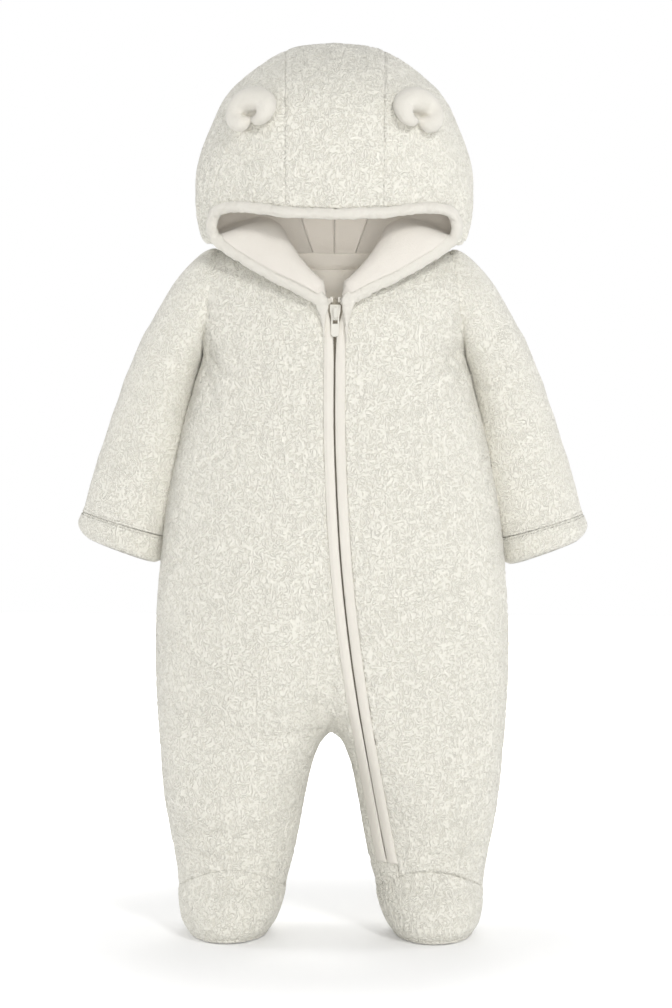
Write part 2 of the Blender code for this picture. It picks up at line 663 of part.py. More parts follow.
def build_hood():
    seam = HOOD_SEAM_ROW
    layers = (("hood_side", "hood_centre", 0.0, FLEECE, "fleece"),
              ("hood_lining_side", "hood_lining", -FLEECE - LINING_GAP, LINING, "lining"))
    for side_name, centre_name, offset, thickness, look in layers:
        whole = hood_grid((0, len(HOOD) - 1), 12 * (len(HOOD) - 1) + 1, 15, offset=offset)
        last = 12 * seam
        side = whole[np.linspace(0, last, 23).round().astype(int)][0 if offset == 0 else 3:]
        side[-1] -= (HOOD_SEAM_HALF, 0, 0)
        if offset:
            side[:, 0] += (side[:, 1] - side[:, 0]) * 0.15
        cloth(f"{side_name}_right", [side], thickness, look, flip=True)
        cloth(f"{side_name}_left", [mirrored(side)], thickness, look)
        centre = whole[np.linspace(last, len(whole) - 1, 4).round().astype(int)]
        centre[0] += (HOOD_SEAM_HALF, 0, 0)
        if look == "fleece":
            centre[-1, :, 0] = 0
            cloth(centre_name, [centre], thickness, look, flip=True, mirror=True)
        else:
            centre[-1, :, 0] = -HOOD_SEAM_HALF
            cloth(f"{centre_name}_right", [centre], thickness, look, flip=True)
            cloth(f"{centre_name}_left", [mirrored(centre)], thickness, look)
    hem = through(hood_net()[:, -1], 4 * (len(HOOD) - 1) + 1)
    tube("hood_hem", np.concatenate([hem * (-1, 1, 1), hem[-2::-1]]), HEM_RADIUS, "fleece")


def build_neck():
    """A tape over the neck seam and a smooth lining below it, inside the back."""
    angles = np.linspace(112, 180, 9)
    stations = np.array([row[0] for row in HOOD], float)
    hood = hood_grid((0, len(HOOD) - 1), 12 * (len(HOOD) - 1) + 1, 60,
                     offset=-FLEECE - LINING_GAP - LINING - TAPE_GAP)
    above, lining = [], []
    for angle in angles:
        at = np.interp(angle, stations, np.arange(len(HOOD))) * 12
        above.append(hood[int(round(at)), 0])
        x, height = neck_point(angle, "back")
        drop = np.linspace(0, 1, 6)
        low = 447.0 - 8.0 * math.sin(math.radians(angle - 90)) ** 2
        heights = (height - 1.0) + (low - height + 1.0) * drop
        lining.append(on_body(-x * (1 + 0.16 * drop), heights, "back"))
    inside = moved_out(np.array(lining), -FLEECE - BACK_LINING_GAP)
    inside[-1, :, 0] = 0
    cloth("back_neck_lining", [inside], LINING, "lining", mirror=True)
    clear = moved_out(np.array(lining), -FLEECE - BACK_LINING_GAP - LINING - TAPE_GAP)
    below = clear[:, 0] * (1 - TAPE_LAP) + clear[:, 1] * TAPE_LAP
    wide = np.stack([np.array(above), (np.array(above) + below) / 2, below], axis=1)
    wide[-1, :, 0] = 0
    cloth("neck_tape", [wide], TAPE, "tape", mirror=True)


def build_ears():
    """Rolled rings that sit on the front of the hood."""
    bpy.context.view_layer.update()
    turn = np.linspace(0, 2 * math.pi, 29)[:-1]
    for side, sign in (("right", -1), ("left", 1)):
        hood = bpy.data.objects[f"hood_side_{side}"].evaluated_get(
            bpy.context.evaluated_depsgraph_get())
        x, height = EAR_PLACE
        start = Vector(place((sign * x, -200.0, height)))
        _, seat, normal, _ = hood.ray_cast(start, Vector((0, 1, 0)))
        normal.normalize()
        across = Vector((0, 0, 1)).cross(normal).normalized()
        up = normal.cross(across)
        middle = seat + normal * (EAR_RADIUS + SEAM_GAP) * MM
        path = [middle + (across * EAR_PATH[0] * math.cos(a) + up * EAR_PATH[1] * math.sin(a)) * MM
                for a in turn]
        ring_curve = tube(f"ear_{side}", (np.array(path) / MM) + (0, 0, ORIGIN_HEIGHT),
                          EAR_RADIUS, "facing")
        ring_curve.data.splines[0].use_cyclic_u = True


def zip_rows(top, bottom, count):
    return np.linspace(top, bottom, count)


def zip_ribbon(offsets, outs, heights):
    """A ribbon beside the zip line: columns at the given offsets, each a little out of the fleece."""
    return np.stack([on_body(zip_x(heights) + offset, heights, "front", out)
                     for offset, out in zip(offsets, outs)], axis=1)


def build_zip():
    rows = zip_rows(ZIP_TOP, ZIP_BOTTOM, 34)
    for side, sign in (("right", -1), ("left", 1)):
        offsets = [sign * strip_edge(rows, share) for share in (0, 0.3, 0.7, 1)]
        strip = zip_ribbon(offsets, (-0.3, 0.4, 0.4, -0.2), rows)
        cloth(f"zip_facing_{side}", [strip], STRIP, "facing", flip=sign > 0)
    wide = np.linspace(-TAPE_HALF_WIDTH, TAPE_HALF_WIDTH, 5)
    rows = zip_rows(ZIP_TOP - 2, ZIP_BOTTOM - 4, 31)
    tape = moved_out(zip_ribbon(wide, [0] * 5, rows), -TAPE_DEPTH)
    cloth("zip_tape", [tape], TAPE, "tape")
    rows = zip_rows(SLIDER_HEIGHT - 8, ZIP_BOTTOM, 31)
    coil = moved_out(zip_ribbon((-4, 0, 4), [0] * 3, rows), -COIL_DEPTH)[:, 1]
    tube("zip_coil", coil, COIL_RADIUS, "plastic", resolution=1)
    down = np.linspace(0, 1, 4)[:, None]
    wide = np.linspace(-PATCH_HALF_WIDTH, PATCH_HALF_WIDTH, 5)[None]
    low = foot_seam(float(zip_x(FOOT_SEAM_SIDE + FOOT_SEAM_RISE)) + wide)
    heights = (ZIP_BOTTOM - 0.5) * (1 - down) + (low + 2.0) * down
    cloth("zip_end_patch", [on_body(zip_x(heights) + wide, heights, "front")], FLEECE, "fleece")


def slider_frame():
    """The middle of the slider on the face of its plate, and the tilt of the front there."""
    x = float(zip_x(SLIDER_HEIGHT))
    high, low = (float(depth(x, SLIDER_HEIGHT + d, "front")) for d in (0.0, -20.0))
    tilt = math.atan2(low - high, 20.0)
    seat = place((x, -high - SLIDER_FACE, SLIDER_HEIGHT))
    return Matrix.Translation(seat) @ Matrix.Rotation(-tilt, 4, "X")


def solid(name, outline, depth_from, depth_to, frame, look, plane="xz", bevel=0.0):
    """A block cut from an outline, between two depths (forward is positive), in a tilted frame."""
    mesh = bmesh.new()
    def corner(a, b, d):
        local = (a, -d, b) if plane == "xz" else (d, -a, b)
        return frame @ Vector([v * MM for v in local])
    back = [mesh.verts.new(corner(a, b, depth_from)) for a, b in outline]
    front = [mesh.verts.new(corner(a, b, depth_to)) for a, b in outline]
    mesh.faces.new(back)
    mesh.faces.new(front[::-1])
    for i in range(len(outline)):
        j = (i + 1) % len(outline)
        mesh.faces.new((back[j], back[i], front[i], front[j]))
    bmesh.ops.recalc_face_normals(mesh, faces=mesh.faces)
    data = bpy.data.meshes.new(name)
    mesh.to_mesh(data)
    mesh.free()
    data.materials.append(material(look))
    obj = bpy.data.objects.new(name, data)
    if bevel:
        edge = obj.modifiers.new("edge", "BEVEL")
        edge.width = bevel * MM
        edge.segments = 2
    return obj


def tool(obj):
    """An object that only cuts or joins."""
    TOOLS.objects.link(obj)
    obj.hide_render = True
    obj.display_type = "WIRE"
    return obj


def combine(target, other, operation):
    step = target.modifiers.new(operation.lower(), "BOOLEAN")
    step.operation = operation
    step.solver = "EXACT"
    step.object = other


def arch_outline():
    """The bridge in side view: forward and height."""
    rise = BRIDGE_ROOM + BRIDGE_BAR
    top, foot, bar = BRIDGE_TOP, BRIDGE_FOOT, BRIDGE_BAR
    outer = [(-0.6, top), (rise * 0.6, top), (rise, top - 1.3), (rise, foot + 1.3),
             (rise * 0.6, foot), (-0.6, foot)]
    inner = [(-0.6, foot + bar), (BRIDGE_ROOM * 0.75, foot + bar), (BRIDGE_ROOM, foot + bar + 0.5),
             (BRIDGE_ROOM, top - bar - 0.5), (BRIDGE_ROOM * 0.75, top - bar), (-0.6, top - bar)]
    return outer + inner


def build_slider():
    frame = slider_frame()
    slider = solid("zip_slider", SLIDER_OUTLINE, -SLIDER_PLATE, 0.0, frame, "plastic", bevel=0.5)
    GARMENT.objects.link(slider)
    bridge = tool(solid("bridge", arch_outline(), -BRIDGE_WIDTH / 2, BRIDGE_WIDTH / 2, frame,
                        "plastic", plane="yz"))
    combine(slider, bridge, "UNION")
    hinge = frame @ Vector((0, -HINGE_FORWARD * MM, HINGE_HEIGHT * MM))
    local = Matrix.Translation(hinge) @ frame.to_3x3().to_4x4()
    half, low, high = PULL_WIDTH / 2, PULL_THICK / 2 - PULL_LENGTH, PULL_THICK / 2
    outline = ((-half, high - 0.4), (-half, low + 1.6), (-half + 1.6, low), (half - 1.6, low),
               (half, low + 1.6), (half, high - 0.4), (half - 0.4, high), (-half + 0.4, high))
    pull = solid("zip_pull", outline, -PULL_THICK / 2, PULL_THICK / 2, local, "plastic", bevel=0.2)
    GARMENT.objects.link(pull)
    eye_top, eye_low = -PULL_THICK / 2, -PULL_THICK / 2 - EYE_LENGTH
    hole = ((-EYE_WIDTH / 2, eye_top), (-EYE_WIDTH / 2, eye_low),
            (EYE_WIDTH / 2, eye_low), (EYE_WIDTH / 2, eye_top))
    eye = tool(solid("eye", hole, -PULL_THICK, PULL_THICK, local, "plastic"))
    combine(pull, eye, "DIFFERENCE")
    pull.data.transform(Matrix.Translation(-hinge))
    pull.location = hinge
    for side, sign in (("right", -1), ("left", 1)):
        wide, deep, tall = (v / 2 for v in STOP_SIZE)
        x = float(zip_x(STOP_HEIGHT)) + sign * STOP_SIDE
        face = float(depth(x, STOP_HEIGHT, "front"))
        seat = Matrix.Translation(place((x, -face + 2.3, STOP_HEIGHT)))
        square = ((-wide, -tall), (wide, -tall), (wide, tall), (-wide, tall))
        GARMENT.objects.link(solid(f"zip_stop_{side}", square, -deep, deep, seat, "plastic",
                                   bevel=0.4))


GARMENT = start_again()
TOOLS = bpy.data.collections.new("tools")
bpy.context.scene.collection.children.link(TOOLS)
build_body()
build_soles()
build_hood()
build_neck()
build_ears()
build_zip()
build_slider()
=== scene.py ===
import math

import bpy
import bmesh
import numpy as np
from mathutils import Matrix, Vector


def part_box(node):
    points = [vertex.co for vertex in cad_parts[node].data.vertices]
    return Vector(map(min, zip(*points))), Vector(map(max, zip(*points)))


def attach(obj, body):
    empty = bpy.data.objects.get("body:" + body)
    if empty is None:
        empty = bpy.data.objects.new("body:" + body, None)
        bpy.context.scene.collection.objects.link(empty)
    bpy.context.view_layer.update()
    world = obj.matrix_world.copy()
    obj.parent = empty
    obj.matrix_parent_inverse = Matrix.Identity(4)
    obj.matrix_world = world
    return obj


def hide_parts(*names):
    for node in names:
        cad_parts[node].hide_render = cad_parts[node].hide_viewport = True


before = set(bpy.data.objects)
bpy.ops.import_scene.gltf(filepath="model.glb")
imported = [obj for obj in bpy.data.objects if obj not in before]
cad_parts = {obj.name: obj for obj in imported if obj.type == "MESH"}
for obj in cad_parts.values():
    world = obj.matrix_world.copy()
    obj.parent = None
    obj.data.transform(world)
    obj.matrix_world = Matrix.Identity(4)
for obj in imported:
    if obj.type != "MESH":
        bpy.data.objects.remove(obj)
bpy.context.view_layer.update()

# tables are millimetres: height above the soles, x out from the middle, depth from the side seams
mm = 0.001
originHeight = 545.0
sides = (("right", -1), ("left", 1))  # the wearer's own


def eased(table, column, at):
    # a smooth curve through one column of a table
    table = table[np.argsort(table[:, 0])]
    x, y = table[:, 0], table[:, column]
    at = np.clip(np.asarray(at, float), x[0], x[-1])
    chord = np.diff(y) / np.diff(x)
    slope = np.empty_like(y)
    slope[0], slope[-1] = chord[0], chord[-1]
    slope[1:-1] = (chord[:-1] * np.diff(x)[1:] + chord[1:] * np.diff(x)[:-1]) / (x[2:] - x[:-2])
    i = np.clip(np.searchsorted(x, at) - 1, 0, len(x) - 2)
    step = x[i + 1] - x[i]
    t = (at - x[i]) / step
    return (y[i] * (1 + 2 * t) * (1 - t) ** 2 + slope[i] * step * t * (1 - t) ** 2
            + y[i + 1] * t * t * (3 - 2 * t) + slope[i + 1] * step * t * t * (t - 1))


def through(points, count):
    # Catmull-Rom through the rows of an array, the same number of steps between each
    points = np.asarray(points, float)
    ends = np.concatenate([[2 * points[0] - points[1]], points, [2 * points[-1] - points[-2]]])
    at = np.linspace(0, len(points) - 1, count)
    i = np.minimum(at.astype(int), len(ends) - 4)
    t = (at - i).reshape((-1,) + (1,) * (ends.ndim - 1))
    a, b, c, d = ends[i], ends[i + 1], ends[i + 2], ends[i + 3]
    return 0.5 * (2 * b + (c - a) * t + (2 * a - 5 * b + 4 * c - d) * t ** 2
                  + (3 * b - a - 3 * c + d) * t ** 3)


def runOf(points):
    # the distance run along a line, up to each of its points
    return np.concatenate([[0], np.cumsum(np.linalg.norm(np.diff(points, axis=0), axis=1))])


def sampled(at, run, points):
    return np.stack([np.interp(at, run, points[:, k]) for k in range(points.shape[1])], axis=1)


def evenly(points, count):
    run = runOf(points)
    return sampled(np.linspace(0, run[-1], count), run, points)


def smooth(a, b, v):
    t = np.clip((np.asarray(v, float) - a) / (b - a), 0, 1)
    return t * t * (3 - 2 * t)


def closerAtEnds(count):
    # shares from 0 to 1
    return (1 - np.cos(np.linspace(0, math.pi, count))) / 2


def turns(count):
    # angles round a ring
    return np.linspace(0, 2 * math.pi, count + 1)[:-1]


def unit(ways):
    return ways / np.maximum(np.linalg.norm(ways, axis=-1, keepdims=True), 1e-9)


def mirrored(grid, sign=-1):
    return grid * (sign, 1, 1)


crotchHeight, armpitHeight, tipHeight, chestHeight = 160.0, 463.0, 543.0, 478.0
ridgeHeight, ridgeDrop, neckHalf, tipHalf, armpitHalf = 550.0, 7.0, 50.0, 96.0, 104.5
frontNeck, backNeck, neckFold = 508.0, 538.0, 15.0
seamSide, seamRise, soleHeight = 38.0, 18.0, 3.0
figure = {"roundness": 2.2, "cleft": 300.0, "allLeg": 95.0, "allBody": 173.0, "gapSlope": 10.8,
          "shoulder": {"front": 2.0, "back": 3.0}, "neckPower": 1.1}
armSteps, bodySteps, legSteps = 42, 150, 62  # rows beside the armhole, down to the crotch, down a leg

bodyTable = np.array([  # half the width, depth in front, depth behind
    (560, 125.0, 58.0, 54.0), (520, 121.5, 58.0, 54.0), (500, 117.5, 59.0, 54.0),
    (480, 110.0, 60.0, 54.0), (463, 104.5, 62.0, 55.0), (440, 109.5, 65.0, 57.0),
    (405, 119.0, 69.0, 60.0), (350, 130.5, 73.0, 64.0), (300, 136.5, 76.0, 68.0),
    (235, 140.5, 76.0, 73.0), (170, 138.5, 70.0, 70.0), (145, 136.5, 66.0, 66.0),
    (100, 132.0, 56.0, 55.0), (67, 125.5, 48.0, 46.0), (45, 122.0, 46.0, 43.0),
    (30, 121.5, 46.0, 42.5), (20, 120.5, 46.0, 41.5), (10, 118.0, 46.0, 39.0),
    (3, 113.5, 46.0, 35.0)])
gapTable = np.array([
    (150, 10.4), (140, 14.2), (123, 18.4), (100, 22.8), (78, 26.8), (56, 31.6),
    (45, 34.8), (30, 37.0), (20, 40.0), (10, 44.5), (3, 49.5)])
toeTable = np.array([(58, 46.5), (50, 48.5), (40, 53.5), (28, 59.5), (16, 63.0), (8, 62.5), (3, 59.0)])
zipTable = np.array([
    (520, 1.4), (450, 0.8), (400, 1.0), (350, 3.0), (300, 6.3), (250, 11.5),
    (200, 18.4), (150, 26.8), (100, 36.0), (60, 44.0), (35, 49.5)])
middleTable = np.array([(520, -15.0), (400, -15.0), (300, -12.0), (230, -6.0), (163, 0.0)])


def gapSquared(height):
    # below the crotch the square of the gap grows evenly at first, which rounds the arch
    near = figure["gapSlope"] * (crotchHeight - np.asarray(height, float))
    return np.where(np.asarray(height) > gapTable[0, 0], near, eased(gapTable, 1, height) ** 2)


def legGap(height):
    # half the gap between the legs
    return np.sqrt(np.maximum(gapSquared(height), 0))


def ridge(x):
    return ridgeHeight - ridgeDrop * (np.abs(x) / tipHalf) ** 2


def depth(x, height, face):
    # how far the cloth stands out from the side seams: one body above, two legs below
    x, height = np.abs(np.asarray(x, float)), np.asarray(height, float)
    half = eased(bodyTable, 1, height)
    full = eased(bodyTable, 2 if face == "front" else 3, height)
    outer = np.maximum(1 - (x / half) ** figure["roundness"], 0) ** (1 / figure["roundness"])
    room = np.maximum(x ** 2 - gapSquared(height), 0)
    body = outer * np.sqrt(room / (room + figure["cleft"]))
    gap = legGap(height)
    middle, reach = (half + gap) / 2, np.maximum((half - gap) / 2, 1e-6)
    leg = np.sqrt(np.maximum(1 - ((x - middle) / reach) ** 2, 0))
    share = 1 - smooth(figure["allLeg"], figure["allBody"], height)
    up = np.clip((height - chestHeight) / (ridge(x) - chestHeight), 0, 1)
    power = figure["shoulder"][face]
    shoulder = (1 - up ** power) ** (1 / power)
    return full * shoulder * ((1 - share) * body + share * leg)


def onBody(x, height, face, out=0.0):
    # points of the cloth, or points so far out from it
    x, height = np.asarray(x, float), np.asarray(height, float)
    away = np.maximum(depth(x, height, face), 0.0) + out
    return np.stack([x, -away if face == "front" else away, height], axis=-1)


def armholeX(height):
    share = (tipHeight - height) / (tipHeight - armpitHeight)
    return tipHalf + (armpitHalf - tipHalf) * share


def neckPoint(angle, face):
    # x and height on the neck seam, from the middle of the front at 0 to the middle of the back at 180
    turn = math.radians(angle)
    low = frontNeck if face == "front" else backNeck
    share = (1 - abs(math.cos(turn))) ** figure["neckPower"]
    return neckHalf * math.sin(turn), low + (ridge(neckHalf) - low) * share


def neckHeight(x):
    return float(neckPoint(math.degrees(math.asin(min(1.0, abs(x) / neckHalf))), "front")[1])


def zipX(height):
    return eased(zipTable, 1, height)


def middleX(height):
    return eased(middleTable, 1, height)


facing = {"slot": 0.4, "atPull": 0.65, "pullEnds": (450, 478), "wide": 8.5, "panel": 7.9, "stitch": 0.84,
          "parts": 4.75, "spreads": 1.2, "partEnds": (474.0, 498.0),
          "lobe": 2.6, "lobeEnds": (496.5, 499.5, 502.3, 504.2),
          "arch": 0.9, "lift": 0.35, "outerLift": 0.25, "groove": 0.45, "grooveWidth": 0.05}


def parting(height):
    # how far the zip's two sides have parted towards the neck
    return smooth(*facing["partEnds"], height)


def stripEdge(height, share):
    # the slot narrows below the pull, and the tops of the facings reach in over the stops
    low, full, fades, top = facing["lobeEnds"]
    lobe = smooth(low, full, height) * (1 - smooth(fades, top, height))
    slot = facing["slot"] + facing["atPull"] * smooth(*facing["pullEnds"], height)
    inner = slot + facing["parts"] * parting(height) - facing["lobe"] * lobe
    outer = facing["wide"] + facing["spreads"] * parting(height)
    return inner + (outer - inner) * share


def panelEdge(height):
    return facing["panel"] + facing["spreads"] * parting(height)


def footSeam(x):
    # the height of the seam over a foot
    outer, inner = float(eased(bodyTable, 1, seamSide)), float(legGap(seamSide))
    across = np.clip((np.abs(x) - (outer + inner) / 2) / ((outer - inner) / 2), -1, 1)
    return seamSide + seamRise * (1 - across ** 2)


def stepped(breaks, steps):
    # heights from break to break, with so many steps between
    parts = [np.linspace(top, low, count + 1)[1:] for top, low, count in zip(breaks, breaks[1:], steps)]
    return np.concatenate([breaks[:1], *parts])


rowBreaks = {"armBand": 82.0, "crotchEase": 12, "frontArm": 425.0, "frontCrotchEase": 8, "frontFoot": 14}


def rowEnds(line, breaks, steps):
    # the ends of the rows along an inner line, closer together at the crotch
    found = []
    dense = np.linspace(0, 1, 600)
    for top, low, count in zip(breaks, breaks[1:], steps):
        share = dense
        if low == crotchHeight:
            share = np.sin(dense * math.pi / 2)
        elif top == crotchHeight:
            share = 1 - np.cos(dense * math.pi / 2)
        spaced = evenly(line(top + (low - top) * share), count + 1)
        found.append(spaced if not found else spaced[1:])
    return np.concatenate(found)


def sideLine(bottom):
    turn = np.linspace(0, math.pi, armSteps + 1)
    arm = (tipHeight + armpitHeight) / 2 + (tipHeight - armpitHeight) / 2 * np.cos(turn)
    breaks = (armpitHeight, crotchHeight + rowBreaks["crotchEase"], bottom)
    lower = stepped(breaks, (bodySteps, legSteps))[1:]
    return np.stack([np.concatenate([armholeX(arm), eased(bodyTable, 1, lower)]),
                     np.concatenate([arm, lower])], axis=1)


def innerLine(xAbove, face, top, bottom, sign):
    def line(height):
        x = np.where(height >= crotchHeight, xAbove(height), sign * legGap(height))
        return np.stack([x, depth(x, height, face), height], axis=1)
    breaks = (top, top - rowBreaks["armBand"], crotchHeight, bottom)
    return rowEnds(line, breaks, (armSteps, bodySteps, legSteps))[:, [0, 2]]


def blendGrid(side, inner, top, bottom, topShare=0.32, bottomShare=0.2):
    # a dense grid between two long lines, drawn to the top and bottom lines near its ends
    share = closerAtEnds(len(top))[None, :, None]
    v = np.linspace(0, 1, len(side))[:, None, None]
    grid = side[:, None] * (1 - share) + inner[:, None] * share
    atTop = np.clip(1 - v / topShare, 0, 1) ** 2
    atBottom = np.clip((v - 1 + bottomShare) / bottomShare, 0, 1) ** 2
    return grid + atTop * (top - grid[0]) + atBottom * (bottom - grid[-1])


def topLine(face, xEnd, count):
    along = round(count * 0.4)  # two fifths of the columns lie on the shoulder
    shoulderX = np.linspace(tipHalf, neckHalf, along)
    last = math.degrees(math.asin(abs(xEnd) / neckHalf))
    neck = [neckPoint(a, face) for a in np.linspace(90, last, count - along + 1)[1:]]
    return np.concatenate([np.stack([shoulderX, ridge(shoulderX)], axis=1), neck])


def footLine(xFrom, xTo, count):
    # the lower edge of a front, over the foot
    x = xFrom + (xTo - xFrom) * closerAtEnds(count)
    return np.stack([x, footSeam(x)], axis=1)


def normalsOf(grid, closed=False):
    across = np.gradient(grid, axis=1)
    if closed:
        across = (np.roll(grid, -1, axis=1) - np.roll(grid, 1, axis=1)) / 2
    return unit(np.cross(np.gradient(grid, axis=0), across))


def movedOut(grid, distance):
    return grid + normalsOf(grid) * distance


def edgeDistance(grid, edges):
    # distance along the cloth to the nearest of the named edges
    def runAlong(axis):
        steps = np.linalg.norm(np.diff(grid, axis=axis), axis=2)
        return np.cumsum(np.insert(steps, 0, 0, axis=axis), axis=axis)
    far = 1e3
    down, along = runAlong(0), runAlong(1)
    away = {"top": down, "bottom": down[-1] - down, "left": along, "right": along[:, -1:] - along}
    low = np.arange(len(grid))[:, None] > armSteps + bodySteps  # the inseams below the crotch
    away["lowLeft"] = np.where(low, away["left"], far)
    away["lowRight"] = np.where(low, away["right"], far)
    return np.min([np.full(grid.shape[:2], far)] + [away[edge] for edge in edges], axis=0)


allEdges = ("top", "bottom", "left", "right")
allowance = {"depths": (0.9, 2.4), "out": 0.12, "nap": 0.7, "napWidth": 3.0, "rollWidth": 2.4}


def turnedIn(grid, edges, flip, closed=False):
    # the seam allowance: rows past the named edges that turn in towards the wearer
    for name, order, step in (("left", (1, 0, 2), 1), ("right", (1, 0, 2), -1),
                              ("top", (0, 1, 2), 1), ("bottom", (0, 1, 2), -1)):
        if name not in edges:
            continue
        normal = normalsOf(grid, closed) * (1 if flip else -1)
        line, normal = (rows.transpose(order)[::step] for rows in (grid, normal))  # the edge comes first
        along, inward = unit(line[0] - line[1]), normal[0]
        if name in ("top", "bottom"):  # at a corner the allowance goes the way of the cloth beside it
            for way in (along, inward):
                if "left" in edges:
                    way[:2] = way[2]
                if "right" in edges:
                    way[-2:] = way[-3]
        rows = [line[0] + along * allowance["out"] + inward * d for d in allowance["depths"]]
        grid = np.concatenate([rows[::-1], line])[::step].transpose(order)
    return grid


def place(points):
    # from the tables' millimetres to the frame's metres
    return (np.asarray(points, float) - (0, 0, originHeight)) * mm


def linked(name, data):
    obj = bpy.data.objects.new(name, data)
    bpy.context.scene.collection.objects.link(obj)
    return obj


def clothPiece(name, grids, flip=False, closed=False, wall=2.4, nap=1.0, edges=(), roll=0.6):
    # a sheet of cloth from one grid or more, rolled over a little at its seams
    mesh = bmesh.new()
    napLayer = mesh.verts.layers.float.new("nap")
    for k, grid in enumerate(grids):
        named = edges[k] if edges and isinstance(edges[0], (tuple, list)) else edges
        away = edgeDistance(grid, named)
        dip = (roll if flip else -roll) * np.exp(-(away / allowance["rollWidth"]) ** 2)
        grid = grid + normalsOf(grid, closed) * dip[..., None]
        keep = nap * (allowance["nap"] + (1 - allowance["nap"]) * smooth(0, allowance["napWidth"], away))
        if wall and roll:
            grid = turnedIn(grid, named, flip, closed)
            extra = [len(allowance["depths"]) * (edge in named) for edge in allEdges]
            keep = np.pad(keep, (extra[:2], extra[2:]))  # no pile on what turns in
        rows, columns = grid.shape[:2]
        verts = [[mesh.verts.new(p) for p in row] for row in place(grid)]
        for r in range(rows):
            for c in range(columns):
                verts[r][c][napLayer] = keep[r, c]
        for r in range(rows - 1):
            for c in range(columns if closed else columns - 1):
                n = (c + 1) % columns
                corners = (verts[r][c], verts[r + 1][c], verts[r + 1][n], verts[r][n])
                mesh.faces.new(corners[::-1] if flip else corners)
    bmesh.ops.remove_doubles(mesh, verts=mesh.verts, dist=0.03 * mm)
    data = bpy.data.meshes.new(name)
    mesh.to_mesh(data)
    mesh.free()
    data.shade_smooth()
    obj = linked(name, data)
    if wall:
        obj.vertex_groups.new(name="inside")
        thick = obj.modifiers.new("wall", "SOLIDIFY")
        thick.thickness = wall * mm
        thick.offset = -1
        thick.use_quality_normals = True
        thick.shell_vertex_group = "inside"
    return obj


def tubeGrid(path, radii, around):
    # rings round a path, on frames that turn as little as they can
    tangent = unit(np.gradient(path, axis=0))
    side = np.cross(tangent[0], (0, 0, 1.0))
    turn = turns(around)[:, None]
    rings = []
    for p, t, r in zip(path, tangent, radii):
        side = unit(side - t * side.dot(t))
        rings.append(p + r * (np.cos(turn) * side + np.sin(turn) * np.cross(t, side)))
    return np.array(rings)


def capped(grid, dome=0.8):
    # closes both ends of a tube with a small dome
    ends = []
    for ring, nextRing in ((grid[0], grid[1]), (grid[-1], grid[-2])):
        middle = ring.mean(axis=0)
        out = unit(middle - nextRing.mean(axis=0))
        radius = np.linalg.norm(ring - middle, axis=1).mean()
        ends.append([middle + (ring - middle) * math.cos(a) + out * radius * dome * math.sin(a)
                     for a in np.linspace(0, math.pi / 2 - 0.04, 9)[1:]])
    return np.concatenate([np.array(ends[0][::-1]), grid, np.array(ends[1])])


def nearestOn(line, points):
    # distance from each point to a line of points, signed by side, and the share run along it
    a, b = line[:-1], line[1:]
    step = b - a
    long = np.maximum((step ** 2).sum(axis=1), 1e-9)
    flat = points.reshape(-1, 2)
    best = np.full(len(flat), 1e9)
    side, share = np.zeros(len(flat)), np.zeros(len(flat))
    for k in range(len(a)):
        off = flat - a[k]
        t = np.clip(off @ step[k] / long[k], 0, 1)
        gap = off - t[:, None] * step[k]
        d = np.hypot(gap[:, 0], gap[:, 1])
        closer = d < best
        best[closer] = d[closer]
        turn = np.sign(step[k, 0] * off[:, 1] - step[k, 1] * off[:, 0])
        side[closer] = turn[closer]
        share[closer] = ((k + t) / len(a))[closer]
    shape = points.shape[:-1]
    return (best * side).reshape(shape), share.reshape(shape)


def creased(grid, creases, flip=False, closed=False):
    # each crease is a line, its width, how deep it is, and how high the fold beside it stands
    normal = normalsOf(grid, closed) * (-1 if flip else 1)
    lift = np.zeros(grid.shape[:2])
    for face, line, width, deep, fold in creases:
        off, share = nearestOn(through(np.array(line, float), 8 * len(line)), grid[..., [0, 2]])
        ends = np.sin(np.clip(share, 0.02, 0.98) * math.pi) ** 0.6
        near = grid[..., 1] < 0 if face == "front" else grid[..., 1] > 0
        soft = np.exp(-(off / width) ** 2) * -deep
        soft += np.exp(-((off - 1.7 * width) / (1.3 * width)) ** 2) * fold
        lift += soft * ends * near
    return grid + normal * lift[..., None]


